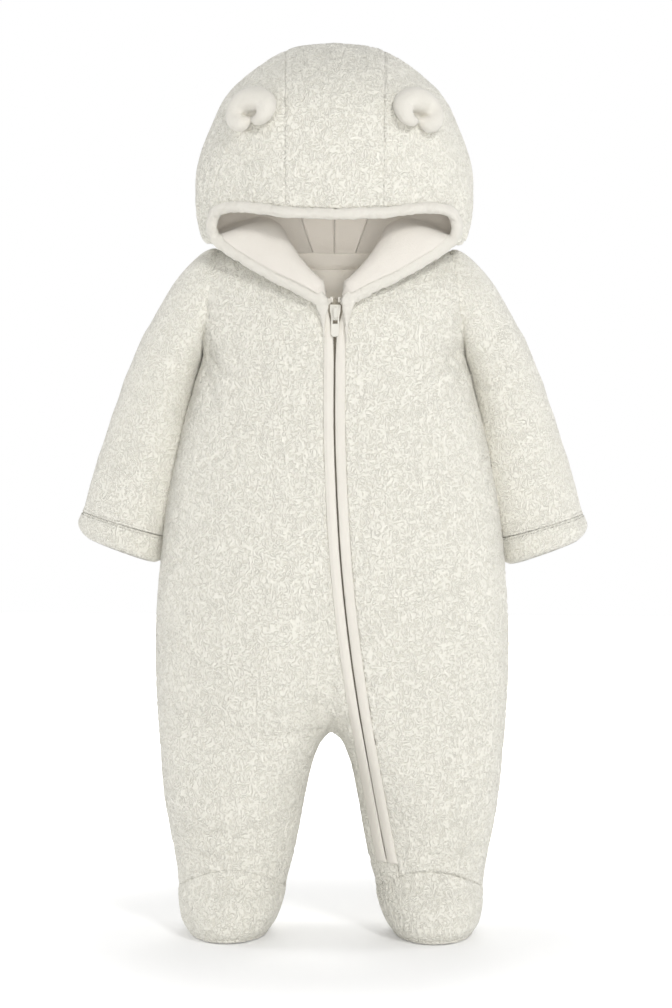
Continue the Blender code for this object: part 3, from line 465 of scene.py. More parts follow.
bodyCreases = [
    # from the armpits
    ("front", [(-101, 466), (-92, 452), (-80, 443)], 5.0, 2.6, 1.4),
    ("front", [(-103, 458), (-97, 436), (-92, 416)], 4.5, 2.0, 1.1),
    ("front", [(101, 467), (90, 455), (76, 448)], 5.0, 2.4, 1.4),
    ("front", [(103, 457), (98, 438), (91, 424)], 4.5, 2.0, 1.0),
    ("back", [(-101, 466), (-88, 455), (-70, 449)], 5.5, 2.4, 1.4),
    ("back", [(-103, 457), (-97, 435), (-88, 418)], 5.0, 2.0, 1.0),
    ("back", [(101, 466), (90, 452), (75, 444)], 5.5, 2.6, 1.4),
    ("back", [(103, 458), (96, 437), (90, 414)], 5.0, 2.0, 1.0),
    # round the crotch
    ("front", [(-3, 166), (-18, 176), (-40, 181)], 5.0, 2.2, 1.3),
    ("front", [(2, 168), (16, 178), (26, 184)], 4.5, 2.0, 1.0),
    ("front", [(-2, 170), (-9, 184), (-11, 200)], 4.0, 1.8, 0.9),
    ("front", [(-1, 161), (1, 170), (-1, 180)], 2.6, 2.6, 1.4),
    ("front", [(-4, 160), (-14, 166), (-24, 167)], 2.6, 1.4, 0.9),
    ("front", [(-12, 158), (-30, 163), (-52, 160)], 4.5, 1.6, 0.9),
    ("front", [(12, 157), (27, 161), (48, 157)], 4.5, 1.4, 0.8),
    ("back", [(-3, 168), (-24, 180), (-52, 184)], 6.0, 2.2, 1.4),
    ("back", [(3, 170), (22, 184), (46, 192)], 6.0, 2.0, 1.2),
    ("back", [(0, 172), (2, 196), (0, 222)], 5.0, 1.8, 0.8),
    # where the legs bend
    ("front", [(-128, 92), (-100, 84), (-62, 88)], 7.0, 1.7, 1.2),
    ("front", [(-118, 70), (-92, 64), (-66, 70)], 6.0, 1.6, 1.2),
    ("front", [(124, 95), (100, 86), (70, 90)], 7.0, 1.5, 1.2),
    ("front", [(120, 72), (96, 65), (60, 71)], 6.0, 1.6, 1.2),
    ("back", [(-122, 88), (-88, 80), (-48, 88)], 8.0, 2.2, 1.6),
    ("back", [(-112, 62), (-84, 55), (-54, 62)], 7.0, 1.9, 1.3),
    ("back", [(120, 90), (86, 83), (52, 91)], 8.0, 2.0, 1.5),
    ("back", [(112, 60), (82, 54), (52, 63)], 7.0, 1.9, 1.3),
    # across the belly, the seat and the small of the back
    ("back", [(-96, 330), (-50, 318), (-6, 322)], 12.0, 1.8, 1.4),
    ("back", [(20, 300), (58, 290), (104, 300)], 12.0, 1.8, 1.2),
    ("back", [(-104, 262), (-66, 246), (-30, 244)], 11.0, 1.5, 1.2),
    ("front", [(-118, 350), (-84, 338), (-48, 336)], 13.0, 1.1, 0.8),
    ("front", [(38, 306), (70, 298), (112, 306)], 12.0, 1.1, 0.8)]
print("form ready")


def evenRow(row, face):
    # x and height along a row, spaced evenly on the surface
    dense = sampled(np.linspace(0, len(row) - 1, 4 * len(row)), np.arange(len(row)), row)
    spaced = evenly(onBody(dense[:, 0], dense[:, 1], face), len(row))
    spaced[0, [0, 2]], spaced[-1, [0, 2]] = row[0], row[-1]
    return spaced[:, 0], spaced[:, 2]


def laidOn(grid, face):
    return np.array([onBody(*evenRow(row, face), face) for row in grid])


def sewnAbove(first, second):
    # two halves of one cloth share their line down to the crotch
    rows = armSteps + bodySteps + 1
    line = (first[:rows, -1] + second[:rows, 0]) / 2
    first[:rows, -1], second[:rows, 0] = line, line
    return [first, second]


def frontRightGrids(columns=84, stripColumns=28):
    # the right front, and its strip over the inside of the left leg as far as the zip
    side = sideLine(seamSide) * (-1, 1)
    middle, inseam = (innerLine(middleX, "front", neckHeight(neckFold), seamSide, sign) for sign in (-1, 1))
    main = blendGrid(side, middle, topLine("front", neckFold, columns) * (-1, 1),
                     footLine(side[-1, 0], middle[-1, 0], columns))
    edge = np.stack([zipX(inseam[:, 1]) - panelEdge(inseam[:, 1]), inseam[:, 1]], axis=1)
    share = closerAtEnds(stripColumns)[None, :, None]
    strip = inseam[:, None] * (1 - share) + edge[:, None] * share
    # the last tenth of the strip eases to the foot's seam
    atFoot = np.clip(np.linspace(-9, 1, len(strip)), 0, 1)[:, None] ** 2
    strip[:, :, 1] += atFoot * (footSeam(strip[-1, :, 0]) - strip[-1, :, 1])
    return sewnAbove(*(creased(laidOn(grid, "front"), bodyCreases) for grid in (main, strip)))


def frontLeftGrid(columns=82):
    side = sideLine(seamSide)
    start = float(zipX(frontNeck) + panelEdge(frontNeck))
    breaks = (neckHeight(start), rowBreaks["frontArm"], crotchHeight + rowBreaks["frontCrotchEase"],
              seamSide + rowBreaks["frontFoot"])
    heights = stepped(breaks, (armSteps, bodySteps, legSteps))
    edge = np.stack([zipX(heights) + panelEdge(heights), heights], axis=1)
    edge[-1, 1] = footSeam(edge[-1, 0])
    grid = blendGrid(side, edge, topLine("front", start, columns),
                     footLine(side[-1, 0], edge[-1, 0], columns))
    return creased(laidOn(grid, "front"), bodyCreases, flip=True)


def backGrid(sign, columns=80):
    side = sideLine(soleHeight) * (-1, 1)
    middle = innerLine(lambda height: 0.0 * height, "back", backNeck, soleHeight, -1)
    share = closerAtEnds(columns)[:, None]
    bottom = side[-1] * (1 - share) + middle[-1] * share
    rows = laidOn(blendGrid(side, middle, topLine("back", 0.0, columns) * (-1, 1), bottom), "back")
    if sign > 0:
        rows = mirrored(rows)[:, ::-1]
    return creased(rows, bodyCreases, flip=True)


def footGrid(rows=34, columns=120):
    # the toe cap leaves the leg's surface at its seam and narrows over the toes
    turn = np.linspace(0, math.pi, columns)
    cap = {"up": 0.3, "low": 1.5, "out": 0.2, "leaves": 0.35}
    top = seamSide + cap["up"]
    grid = []
    for v in np.linspace(0, 1, rows):
        height = top + (cap["low"] - top) * v + seamRise * np.sin(turn) ** 2 * (1 - v) ** 1.5
        outer, inner = eased(bodyTable, 1, height), legGap(height)
        x = -(outer + inner) / 2 - (outer - inner) / 2 * np.cos(turn)
        toe = eased(toeTable, 1, height) * np.maximum(np.sin(turn), 0) ** 0.9
        share = smooth(0, cap["leaves"], v)
        forward = (depth(x, height, "front") + cap["out"]) * (1 - share) + toe * share
        grid.append(evenly(np.stack([x, -forward, height], axis=1), columns))
    return np.array(grid)


# outer corner's x and height, inner corner's x and height, half the depth, and the middle's y
sleeveTable = np.array([
    (106.5, 536.5, 107.0, 457.0, 33.0, 2.0), (123.0, 519.0, 108.5, 452.0, 34.0, 4.0),
    (138.0, 495.0, 110.0, 445.0, 34.0, 7.0), (152.0, 470.0, 112.0, 434.0, 33.5, 10.0),
    (164.0, 442.0, 115.5, 416.0, 33.0, 12.0), (174.5, 412.0, 117.0, 391.0, 32.0, 14.0),
    (184.0, 384.0, 118.5, 364.0, 31.0, 16.0), (192.3, 357.0, 125.0, 338.0, 30.0, 17.0),
    (198.2, 334.0, 132.5, 315.0, 29.0, 18.0)])
cuffTable = np.array([
    (199.0, 333.2, 133.2, 314.3, 29.8, 18.0), (201.8, 325.8, 135.8, 305.2, 30.6, 18.5),
    (199.0, 319.2, 140.0, 298.2, 29.8, 18.8), (194.0, 315.6, 145.0, 297.2, 27.0, 19.0)])
# tucked and seam are two rings at the armhole: how far out they lie, and how far they are drawn in
sleeveCut = {"clear": 0.2, "ease": 8, "lowOut": 1.4, "tucked": (-3.5, 1.8), "seam": (0.2, 0.5),
             "around": 128, "along": 112, "cuffAround": 120, "cuffAlong": 16}
sleeveCreases = [
    ("front", [(118, 462), (130, 470), (140, 480)], 5.0, 2.2, 1.4),
    ("front", [(121, 440), (136, 446), (150, 452)], 5.5, 2.2, 1.5),
    ("front", [(124, 420), (140, 420), (158, 428)], 6.0, 2.0, 1.4),
    ("front", [(132, 392), (150, 392), (172, 402)], 6.0, 1.6, 1.1),
    ("front", [(136, 366), (158, 362), (182, 370)], 6.5, 1.4, 1.1),
    ("front", [(150, 344), (170, 338), (190, 346)], 6.0, 1.3, 1.0),
    ("back", [(116, 458), (134, 466), (148, 474)], 6.0, 2.4, 1.5),
    ("back", [(122, 434), (144, 436), (160, 440)], 6.5, 2.4, 1.6),
    ("back", [(130, 402), (152, 404), (172, 412)], 6.5, 2.0, 1.4),
    ("back", [(136, 372), (160, 368), (184, 378)], 6.5, 1.6, 1.1)]


def bodyHalf(y, height):
    full = np.where(y > 0, eased(bodyTable, 3, height), eased(bodyTable, 2, height))
    power = figure["roundness"]
    return eased(bodyTable, 1, height) * (1 - np.minimum(np.abs(y) / full, 1) ** power) ** (1 / power)


def sleeveRing(row, turn):
    # one ring of the sleeve, kept clear of the body below the armpit
    outerX, outerZ, innerX, innerZ, halfDepth, middle = row
    reach = np.cos(turn)
    x = (outerX + innerX) / 2 + (outerX - innerX) / 2 * reach
    z = (outerZ + innerZ) / 2 + (outerZ - innerZ) / 2 * reach
    y = middle - halfDepth * np.sin(turn)
    top = armpitHeight + sleeveCut["ease"]
    near = np.clip((top - z) / (2 * sleeveCut["ease"]), 0, 1)
    clear = bodyHalf(y, np.minimum(z, armpitHeight)) + sleeveCut["clear"] * near
    return np.stack([np.where(z < top, np.maximum(x, clear), x), y, z], axis=1)


def armholeRing(out, inset):
    # a ring round the armhole, eased and drawn in
    half = sleeveCut["around"] // 2
    middle = (tipHeight + armpitHeight) / 2
    heights = middle + (tipHeight - middle) * np.cos(np.linspace(0, math.pi, half + 1))
    front = onBody(armholeX(heights), heights, "front")
    back = onBody(armholeX(heights), heights, "back")[::-1]
    front[0, 1] = front[-1, 1] = 0
    ring = np.concatenate([front, back[1:-1]])
    low = (tipHeight - ring[:, 2]) / (tipHeight - armpitHeight)
    ring[:, 0] += out + sleeveCut["lowOut"] * low ** 2
    for _ in range(5):
        ring = (np.roll(ring, 1, axis=0) + 2 * ring + np.roll(ring, -1, axis=0)) / 4
    centre = ring.mean(axis=0)
    away = ring - centre
    return centre + away * (1 - inset / np.linalg.norm(away, axis=1, keepdims=True))


def sleeveGrid():
    around, along = sleeveCut["around"], sleeveCut["along"]
    rings = [armholeRing(*sleeveCut["tucked"]), armholeRing(*sleeveCut["seam"])]
    rings += [sleeveRing(row, turns(around)) for row in sleeveTable]
    dense = through(np.array(rings), 12 * (len(rings) - 1) + 1)
    spaced = np.stack([evenly(dense[:, k], along) for k in range(around)], axis=1)
    spaced = np.array([evenly(np.concatenate([ring, ring[:1]]), around + 1)[:-1] for ring in spaced])
    return creased(spaced, sleeveCreases, closed=True)


def cuffGrid():
    around = sleeveCut["cuffAround"]
    # it starts just under the sleeve's end
    rows = [sleeveTable[-1] - (0, 0.6, 0, 0.6, 0, 0), *cuffTable[1:]]
    dense = through(np.array([sleeveRing(row, turns(around)) for row in rows]), 33)
    return np.stack([evenly(dense[:, k], sleeveCut["cuffAlong"]) for k in range(around)], axis=1)


# angle round the neck, then points from the neck seam over the hood to the edge of its opening
hoodTable = [
    (12, (10.2, -57.0, 509), (9.4, -58.5, 511), (9.6, -60.5, 511),
     (10.8, -61.5, 508), (11.3, -61.5, 505.5), (11.5, -61, 502)),
    (28, (20.5, -56.0, 515), (18.5, -58.0, 519), (20.3, -60.5, 519.5),
     (24.0, -61.0, 517.5), (27.0, -60.5, 515.5), (29.5, -59.5, 512)),
    (48, (32.0, -51.5, 525), (29.0, -54.0, 531), (33.0, -57.5, 531.5),
     (39.0, -58.0, 529), (44.0, -57.0, 525.5), (48.5, -55, 521.5)),
    (68, (41.0, -41.0, 538), (37.5, -46.5, 544), (42.0, -51.0, 545.5),
     (51.0, -52.5, 543.5), (61.0, -51.0, 539), (70, -48, 534)),
    (85, (47.0, -25.0, 550), (44.0, -35.0, 556), (50.0, -41.0, 558),
     (63.0, -43.5, 556), (77.0, -43.5, 551), (88.5, -41.5, 546.5)),
    (98, (50.0, -6.0, 557), (52.0, -17.0, 563), (64.0, -21.0, 562),
     (84.0, -21.0, 554), (99.0, -23.0, 547), (95.0, -38, 555)),
    (110, (52.0, 9.0, 559), (59.0, 0.0, 565), (76.0, -3.0, 560),
     (98.0, -4.0, 555), (107.0, -15.0, 563), (94.5, -39, 565)),
    (122, (49.0, 22.0, 558), (64.0, 18.0, 564), (87.0, 15.0, 564),
     (107.0, 8.0, 576), (107.5, -17.0, 586), (89.0, -45, 571.5)),
    (134, (45.0, 33.0, 556), (65.0, 37.0, 565), (94.0, 30.0, 584),
     (109.0, 4.0, 606), (99.0, -29.0, 605), (75.5, -56, 573)),
    (145, (38.0, 43.0, 555), (60.0, 55.0, 574), (86.0, 48.0, 610),
     (98.5, 6.0, 640), (84.0, -43.0, 626), (58.0, -66, 571)),
    (153, (31.0, 49.0, 554), (48.0, 67.0, 582), (72.0, 60.0, 632),
     (80.5, 6.0, 672), (67.0, -55.0, 642), (46.0, -71.5, 569)),
    (160, (22.0, 53.0, 553), (31.5, 75.0, 588), (38.5, 68.0, 650),
     (39.0, 6.0, 701.5), (38.5, -62.0, 657), (37.5, -74.5, 567.5)),
    (180, (0.0, 55.0, 552), (0.0, 79.0, 589), (0.0, 71.0, 652),
     (0.0, 6.0, 707.5), (0.0, -66.0, 662), (0.0, -78, 566))]
hoodAngles = np.array([row[0] for row in hoodTable], float)
hood = {"seamRow": 11, "steps": 12, "neckRise": 0.6, "sectionSteps": 241, "mostRoom": 0.6,
        "middleRows": 26, "liningRows": 10}
hoodCreases = [
    ("front", [(-66, 620), (-52, 616), (-38, 622)], 4.5, 1.8, 1.2),
    ("front", [(-84, 616), (-74, 606), (-60, 604)], 5.0, 1.5, 1.2),
    ("front", [(40, 624), (54, 616), (68, 618)], 4.5, 1.8, 1.2),
    ("front", [(62, 604), (76, 606), (88, 616)], 5.0, 1.5, 1.0),
    ("front", [(-60, 600), (-30, 594), (-8, 598)], 8.0, 1.2, 1.0),
    ("front", [(10, 602), (34, 594), (62, 598)], 8.0, 1.2, 1.0),
    ("back", [(-40, 566), (-20, 560), (4, 564)], 6.0, 1.8, 1.4),
    ("back", [(14, 570), (34, 562), (52, 566)], 6.0, 1.8, 1.4),
    ("back", [(-62, 590), (-40, 580), (-18, 584)], 8.0, 1.5, 1.2),
    ("back", [(24, 592), (44, 582), (66, 588)], 8.0, 1.5, 1.2)]


def hoodNet():
    net = []
    for angle, *points in hoodTable:
        face = "front" if angle < 90 else "back"
        x, height = neckPoint(angle, face)
        seam = onBody(x, height, face) + (0, 0, hood["neckRise"])
        net.append([tuple(seam)] + list(points))
    return np.array(net, float)


def hoodWhole(points=150, hemRoom=4.4, inset=0.0):
    # the wearer's right half of the hood, in sections from the zip round to the middle of the back
    net = hoodNet()
    grid = []
    for section in through(net, hood["steps"] * (len(net) - 1) + 1):
        line = through(section, hood["sectionSteps"])
        run = runOf(line)
        room = min(hemRoom, run[-1] * hood["mostRoom"])
        grid.append(sampled(np.linspace(0, run[-1] - room, points), run, line))
    grid = mirrored(np.array(grid))
    return movedOut(grid, inset) if inset else grid


def hoodCentre(grid, rows):
    # the middle panel's half, with rows as close as the pile needs
    at = np.linspace(hood["steps"] * hood["seamRow"], len(grid) - 1, rows)
    first = np.minimum(at.astype(int), len(grid) - 2)
    share = (at - first)[:, None, None]
    half = grid[first] * (1 - share) + grid[first + 1] * share
    half[-1, :, 0] = 0
    return half


def add(tree, kind, inputs=None, **settings):
    # one node, its settings, and its sockets set or linked
    node = tree.nodes.new(kind)
    for key, value in settings.items():
        setattr(node, key, value)
    for key, value in (inputs or {}).items():
        if isinstance(value, bpy.types.NodeSocket):
            tree.links.new(value, node.inputs[key])
        else:
            node.inputs[key].default_value = value
    return node


def sums(tree, operation, *values, clamp=False):
    node = add(tree, "ShaderNodeMath", dict(enumerate(values)), operation=operation, use_clamp=clamp)
    return node.outputs[0]


def vectors(tree, operation, inputs):
    return add(tree, "ShaderNodeVectorMath", inputs, operation=operation)


def ranged(tree, value, low, high, toLow=0.0, toHigh=1.0):
    node = add(tree, "ShaderNodeMapRange", {
        "Value": value, "From Min": low, "From Max": high, "To Min": toLow, "To Max": toHigh},
        interpolation_type="SMOOTHSTEP")
    return node.outputs["Result"]


def noiseOf(tree, place, scale, detail=2.0, roughness=0.5, output=0):
    node = add(tree, "ShaderNodeTexNoise", {
        "Vector": place, "Scale": scale, "Detail": detail, "Roughness": roughness})
    return node.outputs[output]


# the curls of the finish and the larger tufts raised on the cloth, in metres, and what both share
curl = {"size": 0.00135, "stretch": 1.3, "waves": 3.9, "crease": 0.5}
tuft = {"size": 0.0030, "stretch": 1.2, "waves": 2.6, "crease": 0.1, "middle": 0.65, "wander": 24.0}
pile = {"bend": 0.9, "bendScale": 0.9, "waveScale": 0.42, "breakScale": 0.7, "breakFrom": 0.30,
        "breakTo": 0.58, "leastCrease": 0.25, "clumpScale": 1.6, "clumpRoughness": 0.55, "clumps": 0.45,
        "level": 0.755}


def curlsOf(tree, place, kind):
    # curls of pile as a height from 0 to 1: bent ridges, narrow creases between, drawn out down the cloth
    size = kind["size"]
    scaled = vectors(tree, "MULTIPLY", {
        0: place, 1: (1 / size, 1 / size, 1 / (size * kind["stretch"]))}).outputs[0]
    bend = noiseOf(tree, scaled, pile["bendScale"], 1.0, output=1)
    bent = vectors(tree, "MULTIPLY_ADD", {0: bend, 1: (pile["bend"],) * 3, 2: scaled}).outputs[0]
    wave = noiseOf(tree, bent, pile["waveScale"], 0.0)
    ridges = sums(tree, "COSINE", sums(tree, "MULTIPLY", wave, 2 * math.pi * kind["waves"]))
    crease = ranged(tree, ridges, kind["crease"], -1.0, 0.0, 1.0)
    broken = noiseOf(tree, scaled, pile["breakScale"], 1.0)
    breaks = ranged(tree, broken, pile["breakFrom"], pile["breakTo"], pile["leastCrease"], 1.0)
    clumps = noiseOf(tree, bent, pile["clumpScale"], 2.0, pile["clumpRoughness"])
    return sums(tree, "SUBTRACT", sums(tree, "MULTIPLY_ADD", clumps, pile["clumps"], pile["level"]),
                sums(tree, "MULTIPLY", crease, breaks), clamp=True)


def napModifier():
    # raises tufts on the outside of the wall and keeps the unraised place for the finish
    tree = bpy.data.node_groups.new("raisedPile", "GeometryNodeTree")
    tree.interface.new_socket("Geometry", in_out="INPUT", socket_type="NodeSocketGeometry")
    for name in ("Pile Height", "Ease"):
        tree.interface.new_socket(name, in_out="INPUT", socket_type="NodeSocketFloat")
    tree.interface.new_socket("Geometry", in_out="OUTPUT", socket_type="NodeSocketGeometry")
    given = tree.nodes.new("NodeGroupInput").outputs
    at = add(tree, "GeometryNodeInputPosition").outputs[0]

    def named(name):
        return add(tree, "GeometryNodeInputNamedAttribute", {"Name": name}, data_type="FLOAT").outputs[0]

    amount = sums(tree, "MULTIPLY", named("nap"), sums(tree, "SUBTRACT", 1.0, named("inside")))
    kept = add(tree, "GeometryNodeStoreNamedAttribute", {
        "Geometry": given["Geometry"], "Name": "rest", "Value": at}, data_type="FLOAT_VECTOR").outputs[0]
    tufts = sums(tree, "SUBTRACT", curlsOf(tree, at, tuft), tuft["middle"])
    wander = sums(tree, "SUBTRACT", noiseOf(tree, at, tuft["wander"]), 0.5)
    rise = sums(tree, "MULTIPLY_ADD", tufts, given["Pile Height"],
                sums(tree, "MULTIPLY", wander, given["Ease"]))
    normal = add(tree, "GeometryNodeInputNormal").outputs[0]
    step = vectors(tree, "SCALE", {0: normal, "Scale": sums(tree, "MULTIPLY", rise, amount)}).outputs[0]
    moved = add(tree, "GeometryNodeSetPosition", {"Geometry": kept, "Offset": step})
    add(tree, "NodeGroupOutput", {"Geometry": moved.outputs[0]})
    return tree


raisedPile = napModifier()
napSockets = {item.name: item.identifier for item in raisedPile.interface.items_tree
              if item.in_out == "INPUT"}


def addNap(obj, height, ease):
    nap = obj.modifiers.new("pile", "NODES")
    nap.node_group = raisedPile
    nap[napSockets["Pile Height"]] = height * mm
    nap[napSockets["Ease"]] = ease * mm


# finishes

def newGroup(name, inputs, outputs):
    tree = bpy.data.node_groups.new(name, "ShaderNodeTree")
    for way, sockets in (("INPUT", inputs), ("OUTPUT", outputs)):
        for label, kind in sockets.items():
            tree.interface.new_socket(label, in_out=way, socket_type="NodeSocket" + kind)
    return tree, tree.nodes.new("NodeGroupInput").outputs


def mixColour(tree, share, a, b):
    mix = add(tree, "ShaderNodeMix", data_type="RGBA")
    for value, label in ((share, "Factor"), (a, "A"), (b, "B")):
        tree.links.new(value, mix.inputs[label])
    return mix.outputs["Result"]


fibre = {"scale": 1100.0, "colour": 0.35, "relief": 0.45, "drift": 38.0, "driftColour": 0.12}


def curlGroup():
    # curled pile with fine fibres on it, drifting lighter and darker, with painted shade in the creases
    # between the curls
    tree, given = newGroup("pileCurls", {"Place": "Vector", "Top": "Color", "Crevice": "Color"},
                           {"Colour": "Color", "Height": "Float"})
    curls = curlsOf(tree, given["Place"], curl)
    fibres = noiseOf(tree, given["Place"], fibre["scale"], 3.0, 0.6)
    drift = noiseOf(tree, given["Place"], fibre["drift"], 2.0)
    # the low parts of the curls take the darker colour: painted shade in the creases
    share = sums(tree, "MULTIPLY_ADD", fibres, fibre["colour"], sums(tree, "SUBTRACT", curls, 0.1))
    share = sums(tree, "MULTIPLY_ADD", drift, fibre["driftColour"],
                 sums(tree, "SUBTRACT", share, fibre["driftColour"] / 2), clamp=True)
    add(tree, "NodeGroupOutput", {
        "Colour": mixColour(tree, share, given["Crevice"], given["Top"]),
        "Height": sums(tree, "MULTIPLY_ADD", fibres, fibre["relief"], curls)})
    return tree


knit = {"drift": 70.0, "napColour": 0.5, "driftColour": 0.6}


def knitGroup():
    # brushed knit: a faint nap, drifting lighter and darker
    tree, given = newGroup("brushedKnit", {"Place": "Vector", "Light": "Color", "Dark": "Color",
                                           "Grain": "Float"}, {"Colour": "Color", "Height": "Float"})
    nap = noiseOf(tree, given["Place"], given["Grain"], 3.0, 0.6)
    drift = noiseOf(tree, given["Place"], knit["drift"])
    share = sums(tree, "MULTIPLY_ADD", nap, knit["napColour"],
                 sums(tree, "MULTIPLY", drift, knit["driftColour"]))
    add(tree, "NodeGroupOutput", {"Colour": mixColour(tree, share, given["Dark"], given["Light"]),
                                  "Height": nap})
    return tree


def clothLook(name, group, bump, roughness=0.95, sheen=0.3, raised=False, **values):
    look = bpy.data.materials.new(name)
    look.use_nodes = True
    tree = look.node_tree
    shader = tree.nodes["Principled BSDF"]
    for label, value in (("Roughness", roughness), ("Specular IOR Level", 0.25), ("Sheen Weight", sheen),
                         ("Sheen Roughness", 0.55), ("Sheen Tint", (1, 1, 1, 1))):
        shader.inputs[label].default_value = value
    if raised:
        place = add(tree, "ShaderNodeAttribute", attribute_name="rest").outputs["Vector"]
    else:
        place = add(tree, "ShaderNodeTexCoord").outputs["Object"]
    sockets = {label.capitalize(): (*value, 1) if isinstance(value, tuple) else value
               for label, value in values.items()}
    effect = add(tree, "ShaderNodeGroup", {"Place": place, **sockets}, node_tree=group)
    relief = add(tree, "ShaderNodeBump", {
        "Distance": bump * mm, "Strength": 1.0, "Height": effect.outputs["Height"]})
    tree.links.new(relief.outputs["Normal"], shader.inputs["Normal"])
    tree.links.new(effect.outputs["Colour"], shader.inputs["Base Color"])
    return look


pileCurls, brushedKnit = curlGroup(), knitGroup()
# the darker of the two colours is painted shade for the creases of the pile
fleece = clothLook("pileFleece", pileCurls, 0.58, raised=True,
                   top=(0.825, 0.805, 0.725), crevice=(0.705, 0.68, 0.595))
plush = clothLook("shortPlush", brushedKnit, 0.5, raised=True,
                  light=(0.78, 0.753, 0.69), dark=(0.68, 0.653, 0.58), grain=1200.0)
# the lining is one cloth in lit and shaded copies: this darker one on the lapels, a lighter one deep in the
# hollow
liningLook = clothLook("brushedLining", brushedKnit, 0.3, sheen=0.2,
                       light=(0.77, 0.732, 0.67), dark=(0.71, 0.67, 0.605), grain=900.0)
facingLook = clothLook("zipFacing", brushedKnit, 0.08, sheen=0.15,
                       light=(0.785, 0.752, 0.685), dark=(0.725, 0.695, 0.625), grain=2600.0)
# painted shade: the real tape is coloured darker for the shade in the gap beside the slider and under the
# facings
tapePaintedShade = clothLook("wovenTapePaintedShade", brushedKnit, 0.06, sheen=0.1,
                     light=(0.50, 0.46, 0.38), dark=(0.40, 0.36, 0.29), grain=3000.0)
# painted light: the same lining made lighter, to lift the shade deep in the hollow
liningPaintedLight = clothLook("brushedLiningPaintedLight", brushedKnit, 0.3, sheen=0.2,
                       light=(0.90, 0.855, 0.785), dark=(0.85, 0.80, 0.725), grain=900.0)
threadLook = clothLook("thread", brushedKnit, 0.03, roughness=0.6, sheen=0.1,
                       light=(0.80, 0.78, 0.71), dark=(0.72, 0.695, 0.62), grain=5000.0)
# painted shade: the coil is coloured dark for the shade in the slot between the facings
coilPaintedShade = clothLook("zipCoilPaintedShade", brushedKnit, 0.02, roughness=0.5, sheen=0.0,
                     light=(0.42, 0.385, 0.31), dark=(0.30, 0.27, 0.21), grain=2400.0)
resin = clothLook("paintedResin", brushedKnit, 0.015, roughness=0.32, sheen=0.0,
                  light=(0.75, 0.73, 0.665), dark=(0.70, 0.68, 0.61), grain=900.0)
print("finishes ready")


def finish(obj, look, node=None, body="garment"):
    # gives a piece its look and its place in the frame, and hides the part it stands for
    obj.data.materials.append(look)
    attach(obj, body)
    if node:
        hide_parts(node)


def sewn(node, grids, look, slot, raised=None, **how):
    # makes a piece of cloth, raises its pile and finishes it
    obj = clothPiece(node + "_cloth", grids, **how)
    if raised:
        addNap(obj, *raised)
    finish(obj, look, node)


def sewnFleece(node, grids, raised=(1.3, 0.7), **how):
    # the tufts and the unevenness of the pile stand so many millimetres high
    sewn(node, grids, fleece, "fleece", raised, **how)


def bothHalves(grid):
    return [grid, mirrored(grid)[::-1]]


halfEdges = (("top", "bottom", "left", "lowRight"), ("top", "bottom", "right", "lowLeft"))
sewnFleece("front_right", frontRightGrids(), edges=halfEdges)
sewnFleece("front_left", [frontLeftGrid()], flip=True, edges=allEdges)
sewnFleece("back", sewnAbove(backGrid(-1), backGrid(1)), flip=True, edges=halfEdges)
print("body cut")

sleeve, cuff, foot = sleeveGrid(), cuffGrid(), footGrid()
for side, sign in sides:
    right = side == "right"
    sewnFleece(f"sleeve_{side}", [mirrored(sleeve, sign)], flip=right, closed=True, edges=("bottom",),
               roll=0.9)
    sewnFleece(f"cuff_{side}", [mirrored(cuff, sign)], flip=right, closed=True, edges=("top", "bottom"),
               wall=3.0)
    sewnFleece(f"foot_{side}", [mirrored(foot, -sign)], flip=not right, edges=allEdges, roll=1.0)
print("sleeves and feet cut")

sole = {"rings": 24, "around": 110, "up": 0.5, "rimUp": 1.6, "rimWidth": 0.03, "centre": 0.01,
        "nap": (0.4, 0.2)}


def soleGrid(sign):
    outer, inner = float(eased(bodyTable, 1, soleHeight)), float(legGap(soleHeight))
    toe, heel = float(eased(toeTable, 1, soleHeight)), float(eased(bodyTable, 3, soleHeight))
    turn = turns(sole["around"])
    y = np.where(np.sin(turn) > 0, -toe * np.abs(np.sin(turn)) ** 0.9, -heel * np.sin(turn))
    rim = np.stack([sign * (outer + inner) / 2 + (outer - inner) / 2 * np.cos(turn), y], axis=1)
    middle = rim.mean(axis=0)
    grid = []
    for share in np.linspace(1.0, sole["centre"], sole["rings"]):
        up = sole["up"] + sole["rimUp"] * math.exp(-((1 - share) / sole["rimWidth"]) ** 2)
        grid.append(np.column_stack([middle + (rim - middle) * share, np.full(sole["around"], up)]))
    return np.array(grid)


for side, sign in sides:
    sewnFleece(f"sole_{side}", [soleGrid(sign)], raised=sole["nap"], flip=True, closed=True)

whole = hoodWhole()
seamRow = hood["steps"] * hood["seamRow"]
hoodSide = creased(whole[:seamRow + 1], hoodCreases, flip=True)
hoodMiddle = creased(hoodCentre(whole, hood["middleRows"]), hoodCreases, flip=True)
hoodMiddle[-1, :, 0] = 0
for side, sign in sides:
    sewnFleece(f"hood_side_{side}", [mirrored(hoodSide, -sign)], flip=side == "right",
               edges=("left", "bottom"), roll=0.5)
sewnFleece("hood_centre", bothHalves(hoodMiddle), flip=True, edges=(("top", "left"), ("bottom", "left")),
           roll=0.5)
print("hood cut")

